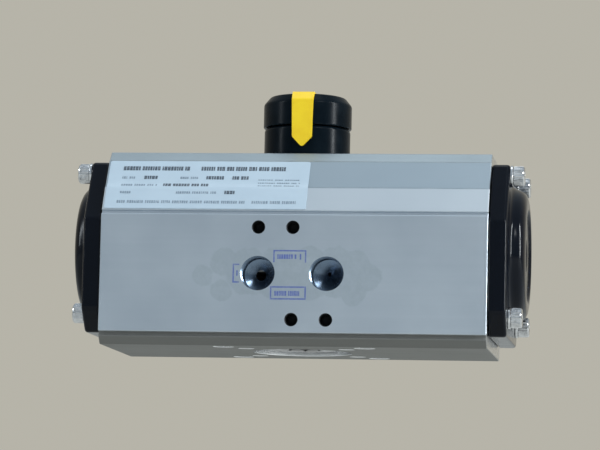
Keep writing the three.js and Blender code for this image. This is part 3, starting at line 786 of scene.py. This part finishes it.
def body_outline():
    crest = shoulder_point(BAND_SPLIT, BAND_RISE)
    groove = shoulder_point(BAND_SPLIT + 0.28, -0.12)
    upper = shoulder_point(BAND_SPLIT + 0.6, 0.0)
    half = [
        (-30.6, 0, 0.5), (-33.4, 2.8, 0.4), (-32.9, 3.4, 0.15), (-32.9, 4.4, 0.15),
        (FACE_Y, 4.4, 0.4), (FACE_Y, 45.6, 0.4), (-32.8, 45.6, 0.15), (-32.8, 46.4, 0.15),
        (SHOULDER_LOW.x, SHOULDER_LOW.y, 0.25), (crest.x, crest.y, 0.15),
        (groove.x, groove.y, 0.08), (upper.x, upper.y, 0.08),
        (SHOULDER_HIGH.x, SHOULDER_HIGH.y, 0.2), (-20.8, 65.8, 0.12), (-17.6, BODY_TOP, 1.3),
    ]
    return rounded(mirrored(half))


def outward(profile, side):
    """A profile drawn for the +X end, as it is at that end or the other one."""
    return [(radius, side * height) for radius, height in profile]


def bore_tool(profile, segments=128):
    return lathe("tool", profile, segments, "X", BORE_CENTRE)


def body_tools():
    through = [(0, -80), (BORE_RADIUS, -80), (BORE_RADIUS, 80), (0, 80)]
    bore = bore_tool(through)
    lead_in = [(0, 69), (27.2, 69), (26.2, 67.2), (25.9, 66.5), (0, 66.5)]
    chamfers = [bore_tool(outward(lead_in, s)) for s in (-1, 1)]
    drilled = []
    for x in (-PORT_X, PORT_X):
        port = hole(5.55, FACE_Y, FACE_Y + 7.6, 0.45, "Y", (x, 0, PORT_Z), thread=0.95, segments=64)
        drilled.append(port)
    for x, z in BOLT_HOLES:
        drilled.append(hole(2.1, FACE_Y, FACE_Y + 7, 0.25, "Y", (x, 0, z), thread=0.8))
    for x in (-40, 40):
        for y in (-15, 15):
            drilled.append(hole(2.1, BODY_TOP, BODY_TOP - 8, 0.3, "Z", (x, y, 0), thread=0.8))
    for radius, size, depth, pitch in VALVE_CIRCLES:
        for p in regular(radius, 4, math.pi / 4):
            drilled.append(hole(size, 0, depth, 0.35, "Z", (p.x, p.y, 0), thread=pitch))
    for side, side_name in ((-1, "left"), (1, "right")):
        for i in range(1, 5):
            at = middle_mm(f"{side_name}_cap_screw_{i}")
            ends = side * BODY_END, side * (BODY_END - 14)
            drilled.append(hole(2.0, *ends, 0.2, "X", (0, at.y, at.z), segments=24))
    profile = [(0, -1), (17.9, -1), (17.5, 0.3), (17.5, 2), (12.95, 2), (12.65, 2.3), (12.65, 5.2)]
    profile += [(14.3, 5.2), (14.3, 20), (0, 20)]
    shaft_hole = lathe("tool", profile, 96)
    profile = [(0, 50), (10.6, 50), (10.6, 66), (9.15, 66), (9.15, 68.7), (9.45, 69), (9.45, 70)]
    top_hole = lathe("tool", profile + [(0, 70)], 96)
    profile = [(0, -28), (1.8, -28), (1.8, -20), (0, -20)]
    passage = lathe("tool", profile, 32, "Y", (-PORT_X, 0, PORT_Z))
    stops = []
    for x in (-STOP_X, STOP_X):
        profile = [(0, 12), (3.1, 12), (3.1, 32.6), (4.6, 32.6), (4.6, 34.0), (4.9, 34.2)]
        profile += [(4.9, 35.2), (0, 35.2)]
        stops.append(lathe("tool", profile, 40, "Y", (x, 0, STOP_Z)))
    return [bore, *chamfers, joined(drilled), shaft_hole, top_hole, passage, joined(stops)]


def near_valve_hole(x, y):
    """Whether a point lies within half a millimetre or so of a hole in the underside."""
    reaches = {25: 3, 35: 4}
    return any(
        (Vector((x, y)) - p).length < reaches[circle]
        for circle, *_ in VALVE_CIRCLES
        for p in regular(circle, 4, math.pi / 4)
    )


def make_body():
    body = prism("cylinder_body_fine", body_outline(), -BODY_END, BODY_END, "X", edge=0.35)
    cut(body, *body_tools())
    dress(body, "housing", "anodised_body", anodised, "cylinder_body")
    for metal in (machined_metal, hole_oxide_and_shade_metal, port_thread_shade_metal):
        body.data.materials.append(metal)
    for face in body.data.polygons:
        x, y, z = (c / MM for c in face.center)
        deep = FACE_Y + 0.05 < y < FACE_Y + 12
        in_port = deep and math.hypot(abs(x) - PORT_X, z - PORT_Z) < PORT_REACH
        in_bolt_hole = deep and min(math.dist((x, z), at) for at in BOLT_HOLES) < BOLT_REACH
        in_bottom = 0.05 < z < 16 and (math.hypot(x, y) < REGISTER_REACH or near_valve_hole(x, y))
        in_bore = math.hypot(y, z - BORE_Z) < BORE_REACH
        if in_port:
            face.material_index = THREAD_SLOT
        elif in_bolt_hole:
            face.material_index = DRILLED_SLOT
        elif in_bottom or in_bore:
            face.material_index = MACHINED_SLOT
    return finish_shading(body)


make_body()


# ---- end caps and their screws


def cap_outline():
    half = [(-25.6, 4.4, 2.2), (-33.2, 12, 3.0), (-33.2, 44, 2.5), (-19.4, 65.2, 2.2)]
    return rounded(mirrored(half), 6)


def make_cap(name, side):
    """One end cap. side is 1 at the +X end and -1 at the -X end."""
    inner = BODY_END
    outline = cap_outline()
    low, high = sorted((side * inner, side * FLANGE_OUT))
    plate = prism(name + "_end_cap_fine", outline, low, high, "X", edge=1.1, steps=5)
    profile = [
        (0, FLANGE_OUT - 1), (26.6, FLANGE_OUT - 1), (26.6, FLANGE_OUT - 0.05),
        (25.4, FLANGE_OUT + 0.12), (24.5, FLANGE_OUT + 0.55), (23.9, FLANGE_OUT + 1.2),
        (23.5, FLANGE_OUT + 2.1), (23.1, FLANGE_OUT + 3.1), (22.6, FLANGE_OUT + 3.9),
        (21.8, FLANGE_OUT + 4.65), (20.7, FLANGE_OUT + 5.2), (19.3, FLANGE_OUT + 5.5),
        (17.6, CAP_OUT), (16.9, CAP_OUT), (16.4, CAP_OUT - 0.25), (16.0, CAP_OUT - 0.65),
        (15.3, CAP_OUT - 0.8), (6.2, CAP_OUT - 0.8), (5.4, CAP_OUT - 1.1), (4.6, CAP_OUT - 1.4),
        (0, CAP_OUT - 1.4),
    ]
    dome = bore_tool(outward(profile, side))
    neck = [(0, SPIGOT_END), (25.5, SPIGOT_END), (25.85, SPIGOT_END + 0.35), (25.85, inner - 3)]
    neck += [(24.15, inner - 3), (24.15, inner - 1), (25.85, inner - 1), (25.85, inner + 1)]
    neck += [(0, inner + 1)]
    spigot = bore_tool(outward(neck, side))
    united(plate, dome, spigot)
    inside = CAP_OUT - 3.4
    hollow = [(0, SPIGOT_END - 1), (20.4, SPIGOT_END - 1), (20.4, inside - 2)]
    hollow += [(19.8, inside - 0.6), (18.4, inside), (0, inside)]
    tools = [bore_tool(outward(hollow, side), 96)]
    seats = []
    for i in range(1, 5):
        at = middle_mm(f"{name}_cap_washer_{i}")
        seat = [(0, inner - 2), (2.2, inner - 2), (2.2, FLANGE_OUT + 2), (0, FLANGE_OUT + 2)]
        seats.append(lathe("tool", outward(seat, side), 24, "X", (0, at.y, at.z)))
    tools.append(joined(seats))
    cut(plate, *tools)
    return dress(plate, "housing", "black_paint", cap_paint, name + "_end_cap", angle=32)


def knurl(low, high):
    """Fine ridges round a screw's head between two heights."""

    def ripple(height, k):
        inside = min(low, high) - 1e-6 <= height <= max(low, high) + 1e-6
        return 0.07 * (1 if k % 4 < 2 else -1) if inside else 0

    return ripple


def screw_mesh(side):
    """A socket head screw at the origin with its seat at x 0, pointing out along side."""
    height, radius = 4.0, 3.43
    head = [
        (0, -17), (1.5, -17), (1.88, -16.5), (1.88, 0.02), (radius - 0.2, 0.02), (radius, 0.2),
        (radius, 0.5), (radius, 3.3), (radius, 3.45), (radius - 0.12, 3.75),
        (radius - 0.45, height), (0, height),
    ]
    ridges = knurl(side * 0.5, side * 3.3)
    screw = lathe("tool", outward(head, side), 160, "X", ripple=ridges)
    sunk = sorted((side * 1.9, side * (height + 1)))
    socket = prism("tool", regular(1.75, 6, math.radians(30)), sunk[0], sunk[1], "X")
    cone = [(0, 3.75), (1.6, 3.75), (2.0, height + 0.1), (0, height + 0.1)]
    cut(screw, socket, lathe("tool", outward(cone, side), 48, "X"))
    return screw


def washer_mesh(side):
    profile = [(2.1, 0), (3.65, 0), (3.8, 0.15), (3.8, 0.85), (3.65, 1.0), (2.25, 1.0)]
    profile += [(2.1, 0.85), (2.1, 0)]
    return lathe("tool", outward(profile, side), 64, "X")


def place_fastener(source, node, place):
    """A stainless copy of a mesh made at the origin, in place of one CAD node."""
    obj = bpy.data.objects.new(node + "_fine", source.data.copy())
    scene.collection.objects.link(obj)
    obj.data.transform(Matrix.Translation(Vector(place) * MM))
    dress(obj, "housing", "stainless", stainless, node)
    bpy.data.objects.remove(source)
    return finish_shading(obj, 30)


random.seed(7)
for side_name, side in (("right", 1), ("left", -1)):
    make_cap(side_name, side)
    for i in range(1, 5):
        at = middle_mm(f"{side_name}_cap_screw_{i}")
        screw = screw_mesh(side)
        # No two screws stand alike.
        screw.data.transform(Matrix.Rotation(math.radians(random.uniform(0, 60)), 4, "X"))
        seat = side * (FLANGE_OUT + 1)
        place_fastener(screw, f"{side_name}_cap_screw_{i}", (seat, at.y, at.z))
        ring = washer_mesh(side)
        place_fastener(ring, f"{side_name}_cap_washer_{i}", (side * FLANGE_OUT, at.y, at.z))


# ---- output shaft


def involute(angle):
    return math.tan(angle) - angle


GEAR_MODULE = 1.25
GEAR_TEETH = 16
TOOTH_PLAY = 0.1
PRESSURE_ANGLE = math.radians(20)


def pinion_outline():
    """Involute teeth, one of them along -Y."""
    pitch, pressure = GEAR_MODULE * GEAR_TEETH / 2, PRESSURE_ANGLE
    base = pitch * math.cos(pressure)
    thickness = math.pi * GEAR_MODULE / 2 - TOOTH_PLAY
    points = []
    for tooth in range(GEAR_TEETH):
        centre = -math.pi / 2 + 2 * math.pi * tooth / GEAR_TEETH
        flank = []
        for k in range(7):
            radius = base + 0.001 + (11.1 - base) * k / 6
            lean = involute(math.acos(min(1, base / radius)))
            half = thickness / (2 * pitch) + involute(pressure) - lean
            flank.append((radius, half))
        flank.insert(0, (8.55, flank[0][1]))
        for radius, half in flank:
            points.append(polar(radius, centre - half))
        for radius, half in reversed(flank):
            points.append(polar(radius, centre + half))
    return points


SOCKET_ACROSS = 11.1  # an 11 mm square stem with its play, in two places 45 degrees apart


def socket_outline():
    half = SOCKET_ACROSS / 2
    points = []
    for i in range(8):
        inner = half / math.cos(math.pi / 8)
        for radius, angle in ((half * math.sqrt(2), i), (inner, i + 0.5)):
            points.append(polar(radius, angle * math.pi / 4))
    return points


def make_pinion():
    profile = [
        (0, 1), (11.9, 1), (12.35, 1.2), (12.5, 1.6), (12.5, 2.7), (10.9, 2.7), (10.9, 4.5),
        (12.5, 4.5), (12.5, 15.6), (10.6, 16.4), (10.6, 21), (8, 22), (8, 50), (11.3, 52.5),
        (11.3, 56), (9, 56), (9, 66.8), (7.6, 66.8), (7.6, 68.3), (9, 68.3), (9, 71.3),
        (8.2, 71.3), (8.2, 72.5), (9, 72.5), (9, 73.2), (8.8, 73.4), (7.5, 73.4),
        (7.5, SHAFT_TOP - 0.8), (6.7, SHAFT_TOP), (0, SHAFT_TOP),
    ]
    shaft = lathe("drive_pinion_fine", profile, 96)
    gear = prism("tool", pinion_outline(), 25, 45, "Z", edge=0.25, steps=2)
    octagon = regular(11.4 / math.cos(math.pi / 8), 8, math.pi / 8)
    collar = prism("tool", octagon, 15.6, 21.4, "Z", edge=0.3, steps=2)
    united(shaft, gear, collar)
    socket = prism("tool", socket_outline(), 0, 13, "Z")
    mouth = lathe("tool", [(0, 0.5), (8.2, 0.5), (7.0, 1.5), (0, 1.5)], 96)
    thread = hole(2.1, SHAFT_TOP, SHAFT_TOP - 14, 0.3, "Z", (0, 0, 0), thread=0.8)
    flats = [block("tool", (-9, -9, 77), (9, -5.5, 91)), block("tool", (-9, 5.5, 77), (9, 9, 91))]
    cut(shaft, socket, mouth, thread, *flats)
    return dress(shaft, "output_shaft", "bare_steel", steel, "drive_pinion", angle=25)


make_pinion()


# ---- position indicator


def pointer_band(clearance):
    """The pointer's front outline, in x and z."""
    corners = [(-3.9 - clearance, 93, 0), (-3.5 - clearance, 75.2, 1.2), (0, 71.5 - clearance, 0.9)]
    corners += [(3.5 + clearance, 75.2, 1.2), (3.9 + clearance, 93, 0)]
    return rounded(corners, 5)


def hoop(outer, top, bevel, low=70.5, soft=0.5):
    half = [(-outer, low, 0), (-outer, top - bevel, soft), (-outer + bevel * 0.83, top, soft)]
    return rounded(mirrored(half), 4)


def pointer_slot():
    band = prism("tool", pointer_band(0.15), -20, 20, "Y")
    return cut(band, prism("tool", hoop(14.6, 90.2, 2.6), -9, 9, "X"))


def make_indicator():
    low, high = (corner.z for corner in box_mm("indicator_base"))
    profile = [
        (13.6, low), (15.0, low), (15.22, low + 0.12), (15.3, low + 0.4), (15.3, high - 1.3),
        (15.24, high - 0.9), (15.08, high - 0.52), (14.82, high - 0.22), (14.5, high - 0.06),
        (14.1, high), (7.6, high), (7.6, 73.8), (13.6, 73.8), (13.6, low),
    ]
    base = lathe("indicator_base_fine", profile, 128)
    cut(base, pointer_slot())
    dress(base, "output_shaft", "black_plastic", black_plastic, "indicator_base", angle=30)

    low, high = (corner.z for corner in box_mm("indicator_cap"))
    profile = [
        (0, low), (15.2, low), (15.52, low + 0.1), (15.7, low + 0.4), (15.7, 87.6), (15.64, 88.0),
        (15.5, 88.34), (15.28, 88.66), (13.75, 90.5), (13.4, 90.8), (13.0, 90.95), (12.5, high),
        (0, high),
    ]
    cap = lathe("indicator_cap_fine", profile, 128)
    tip = SHAFT_TOP + 0.1
    round_hole = lathe("tool", [(0, low - 1), (7.6, low - 1), (7.6, tip), (0, tip)], 64)
    common(round_hole, block("tool", (-9, -5.6, low - 2), (9, 5.6, 92)))
    screw_hole = lathe("tool", [(0, 88), (2.7, 88), (2.7, 92), (0, 92)], 32)
    cut(cap, round_hole, screw_hole, pointer_slot())
    dress(cap, "output_shaft", "black_plastic", black_plastic, "indicator_cap", angle=30)

    pointer = prism("indicator_pointer_fine", hoop(16.1, 91.6, 3, soft=1.2), -9, 9, "X")
    common(pointer, prism("tool", pointer_band(0), -20, 20, "Y"))
    inner = prism("tool", hoop(14.75, 90.3, 2.6, low=60), -10, 10, "X")
    hole_tool = lathe("tool", [(0, 88), (2.9, 88), (2.9, 95), (0, 95)], 40)
    cut(pointer, inner, hole_tool)
    soft = pointer.modifiers.new("soft_edges", "BEVEL")
    soft.width = 0.35 * MM
    soft.segments = 3
    soft.limit_method = "ANGLE"
    soft.angle_limit = math.radians(50)
    dress(pointer, "output_shaft", "yellow_plastic", yellow_plastic, "indicator_pointer", angle=35)

    seat = 91.65  # the pointer's top
    profile = [
        (0, 78), (1.6, 78), (2, 78.5), (2, seat), (3.45, seat), (3.7, seat + 0.25),
        (3.65, seat + 0.6), (3.3, seat + 1.05), (2.6, seat + 1.4), (1.9, seat + 1.5),
        (0, seat + 1.5),
    ]
    screw = lathe("indicator_screw_fine", profile, 64)
    cut(screw, prism("tool", regular(1.3, 6), seat + 0.3, seat + 3, "Z"))
    dress(screw, "output_shaft", "stainless", stainless, "indicator_screw", angle=30)


make_indicator()


# ---- travel stops


def make_stop(name, x):
    low, high = box_mm(name + "_stop_screw")
    profile = [(0, low.y), (1.9, low.y), (2.2, low.y + 0.3), (2.2, 9.4), (2.7, 10)]
    y = 10.4
    while y < high.y - 1:
        profile += [(2.85, y), (2.55, y + 0.5)]
        y += 1.0
    profile += [(2.85, high.y - 0.6), (2.4, high.y), (0, high.y)]
    screw = lathe(name + "_stop_screw_fine", profile, 48, "Y", (x, 0, STOP_Z))
    socket = prism("tool", shifted(regular(1.5, 6), x, STOP_Z), high.y - 3, high.y + 1, "Y")
    cut(screw, socket)
    dress(screw, name + "_stop", "stainless", stainless, name + "_stop_screw", angle=24)

    low, high = box_mm(name + "_stop_nut")
    hexagon = shifted(regular(5.6, 6), x, STOP_Z)
    nut = prism(name + "_stop_nut_fine", hexagon, low.y, high.y, "Y")
    crown = [(0, low.y), (4.75, low.y), (5.7, low.y + 0.55), (5.7, high.y - 0.55)]
    crown += [(4.75, high.y), (0, high.y)]
    common(nut, lathe("tool", crown, 96, "Y", (x, 0, STOP_Z)))
    bore = [(0, low.y - 0.2), (3.4, low.y - 0.2), (3.0, low.y + 0.3), (3.0, high.y - 0.3)]
    bore += [(3.4, high.y + 0.2), (0, high.y + 0.2)]
    cut(nut, lathe("tool", bore, 48, "Y", (x, 0, STOP_Z)))
    dress(nut, "housing", "stainless", stainless, name + "_stop_nut", angle=28)

    low, high = box_mm(name + "_stop_washer")
    a, b = low.y, high.y
    profile = [(3.1, a), (5.85, a), (6, a + 0.15), (6, b - 0.15), (5.85, b), (3.25, b)]
    profile += [(3.1, b - 0.15), (3.1, a)]
    washer = lathe(name + "_stop_washer_fine", profile, 64, "Y", (x, 0, STOP_Z))
    dress(washer, "housing", "stainless", stainless, name + "_stop_washer", angle=30)


make_stop("closed", -STOP_X)
make_stop("open", STOP_X)


# ---- label and printed marks

LINE_WIDTH = 0.5
PRINT_THICKNESS = 0.012


def make_label():
    """The foil lies on both bands of the shoulder, with rounded corners."""
    low, high = box_mm("label")
    across = [(0.3, 0.06), (BAND_SPLIT - 0.2, BAND_RISE + 0.05)]
    across += [(BAND_SPLIT + 1.6, 0.1), (SHOULDER_LENGTH - 0.3, 0.06)]
    vertices, faces = [], []
    columns = [low.x, low.x + 0.35, low.x + 1.0]
    columns += [low.x + 1.0 + (high.x - low.x - 2) * k / 24 for k in range(1, 24)]
    columns += [high.x - 1.0, high.x - 0.35, high.x]
    rows = []
    for k in range(len(across) - 1):
        (d0, h0), (d1, h1) = across[k], across[k + 1]
        steps = 8
        rows += [(d0 + (d1 - d0) * s / steps, h0 + (h1 - h0) * s / steps) for s in range(steps)]
    rows.append(across[-1])
    squeezes = {columns[0]: 0.6, columns[-1]: 0.6, columns[1]: 0.15, columns[-2]: 0.15}
    wave = random.Random(3)
    for top in (0, 1):
        for x in columns:
            for d, h in rows:
                squeeze = squeezes.get(x, 0)
                middle = (rows[0][0] + rows[-1][0]) / 2
                reach = (rows[-1][0] - rows[0][0]) / 2
                d2 = middle + (d - middle) * (1 - squeeze / reach)
                lift = 0.02 * math.sin(x * 0.35) + 0.012 * wave.uniform(-1, 1)
                p = shoulder_point(d2, h + (0.13 + lift if top else 0))
                vertices.append((x, p.x, p.y))
    n, m = len(columns), len(rows)

    def index(top, i, j):
        return top * n * m + i * m + j

    for i in range(n - 1):
        for j in range(m - 1):
            i2, j2 = i + 1, j + 1
            faces.append((index(1, i, j), index(1, i2, j), index(1, i2, j2), index(1, i, j2)))
            faces.append((index(0, i, j), index(0, i, j2), index(0, i2, j2), index(0, i2, j)))
    for i in range(n - 1):
        for j in (0, m - 1):
            faces.append((index(0, i, j), index(0, i + 1, j), index(1, i + 1, j), index(1, i, j)))
    for j in range(m - 1):
        for i in (0, n - 1):
            faces.append((index(0, i, j), index(0, i, j + 1), index(1, i, j + 1), index(1, i, j)))
    label = closed_mesh("label_foil_fine", vertices, faces)
    dress(label, "housing", "label_foil", foil, "label")
    finish_shading(label, 40, weighted=False)
    return low, high, across


def label_height(across, distance):
    for (d0, h0), (d1, h1) in zip(across, across[1:]):
        if distance <= d1:
            return h0 + (h1 - h0) * (distance - d0) / (d1 - d0)
    return across[-1][1]


def thin_plate(corners, out, thickness):
    """A thin closed plate over four corners in space, raised along a direction."""
    low = [Vector(c) - out * 0.03 for c in corners]
    high = [Vector(c) + out * thickness for c in corners]
    faces = [(0, 1, 2, 3), (4, 5, 6, 7), (0, 1, 5, 4), (1, 2, 6, 5), (2, 3, 7, 6), (3, 0, 4, 7)]
    return low + high, faces


def plates(name, items, out, thickness):
    vertices, faces = [], []
    for corners in items:
        v, f = thin_plate(corners, out, thickness)
        faces += [tuple(len(vertices) + k for k in face) for face in f]
        vertices += [tuple(p) for p in v]
    return closed_mesh(name, vertices, faces)


def bars(dice, start, end, narrow, wide, gap):
    """Bar widths that fill a row like short marks, with no letters in them."""
    marks, x = [], start
    while x < end - narrow:
        for _ in range(dice.randint(3, 8)):
            width = dice.uniform(narrow, wide)
            if x + width > end:
                return marks
            marks.append((x, x + width))
            x += width + gap
        x += gap * 2.6
    return marks


def make_label_print(low, high, across):
    """Rows of generic bars where a nameplate carries its data."""
    dice = random.Random(11)
    span = high.x - low.x
    rows = [
        # height up the label, bar height, [(start, end)] as shares of its length, bold
        (17.5, 1.8, [(0.07, 0.41), (0.46, 0.90)], True),
        (13.7, 0.95, [(0.07, 0.14), (0.36, 0.45)], False),
        (13.5, 1.5, [(0.18, 0.26), (0.49, 0.58), (0.62, 0.71)], True),
        (13.1, 0.5, [(0.75, 0.96)], False),
        (11.7, 0.5, [(0.75, 0.96)], False),
        (10.3, 0.5, [(0.75, 0.96)], False),
        (10.2, 0.95, [(0.07, 0.25)], False),
        (10.1, 1.4, [(0.28, 0.52)], True),
        (6.8, 0.95, [(0.07, 0.13), (0.35, 0.56)], False),
        (6.7, 1.4, [(0.59, 0.65)], True),
        (2.6, 1.15, [(0.06, 0.70), (0.73, 0.95)], False),
    ]
    bold, fine = [], []
    for height, tall, parts, heavy in rows:
        for start, end in parts:
            narrow, wide, gap = (0.5, 1.0, 0.2) if heavy else (0.32, 0.7, 0.22)
            for x0, x1 in bars(dice, low.x + span * start, low.x + span * end, narrow, wide, gap):
                tops = []
                for x, d in ((x0, height), (x1, height), (x1, height + tall), (x0, height + tall)):
                    p = shoulder_point(d, label_height(across, d) + 0.165)
                    tops.append((x, p.x, p.y))
                (bold if heavy else fine).append(tops)
    prints = (("label_print_bold", bold, dark_ink), ("label_print_fine", fine, grey_ink))
    for name, items, material in prints:
        out = Vector((0, SHOULDER_OUT.x, SHOULDER_OUT.y))
        dress(plates(name, items, out, PRINT_THICKNESS), "housing", "label_foil", material)


def front_mark(x0, x1, z0, z1):
    """The corners of a mark just clear of the front face."""
    y = FACE_Y - 0.005
    return [(x0, y, z0), (x1, y, z0), (x1, y, z1), (x0, y, z1)]


def frame_lines(x0, x1, z0, z1, width, sides):
    """The thin rectangles of a printed frame, as corner lists on the front face."""
    low = z0 + width * ("bottom" in sides)
    high = z1 - width * ("top" in sides)
    boxes = {
        "left": (x0, x0 + width, low, high),
        "right": (x1 - width, x1, low, high),
        "bottom": (x0, x1, z0, z0 + width),
        "top": (x0, x1, z1 - width, z1),
    }
    return [front_mark(*boxes[side]) for side in sides]


def make_port_marks():
    """Blue printed frames above, below and beside the ports, with short bars in them."""
    dice = random.Random(5)
    items = frame_lines(-6.6, 4.9, 28.8, 33.1, LINE_WIDTH, ("left", "top", "right"))
    items += frame_lines(-7.5, 5.0, 15.9, 20.5, LINE_WIDTH, ("left", "top", "right", "bottom"))
    items += frame_lines(-20.7, -18.4, 21.6, 28.2, LINE_WIDTH, ("left", "top", "bottom"))
    rows = ((-5.2, 1.6, 30.0, 1.6), (2.6, 3.8, 29.8, 2.0), (-6.0, 3.6, 17.2, 1.7))
    for x0, x1, z, tall in rows + ((-19.4, -18.3, 24.0, 1.9),):
        for a, b in bars(dice, x0, x1, 0.4, 0.8, 0.16):
            items.append(front_mark(a, b, z, z + tall))
    marks = plates("port_marks", items, Vector((0, -1, 0)), PRINT_THICKNESS)
    dress(marks, "housing", "anodised_body", blue_ink)


make_label_print(*make_label())
make_port_marks()


# ---- CAD nodes that stay

KEPT = {
    "seal_rubber": rubber,
    "bare_steel": steel,
    "stainless": stainless,
    "cast_aluminium": cast,
    "bearing_plastic": acetal,
}
slots = {entry["node"]: entry["material_slot"] for entry in frame["record"]["subparts"]}
for node, obj in frame["nodes"].items():
    if not obj.hide_render and slots[node] in KEPT:
        obj.data.materials.clear()
        obj.data.materials.append(KEPT[slots[node]])
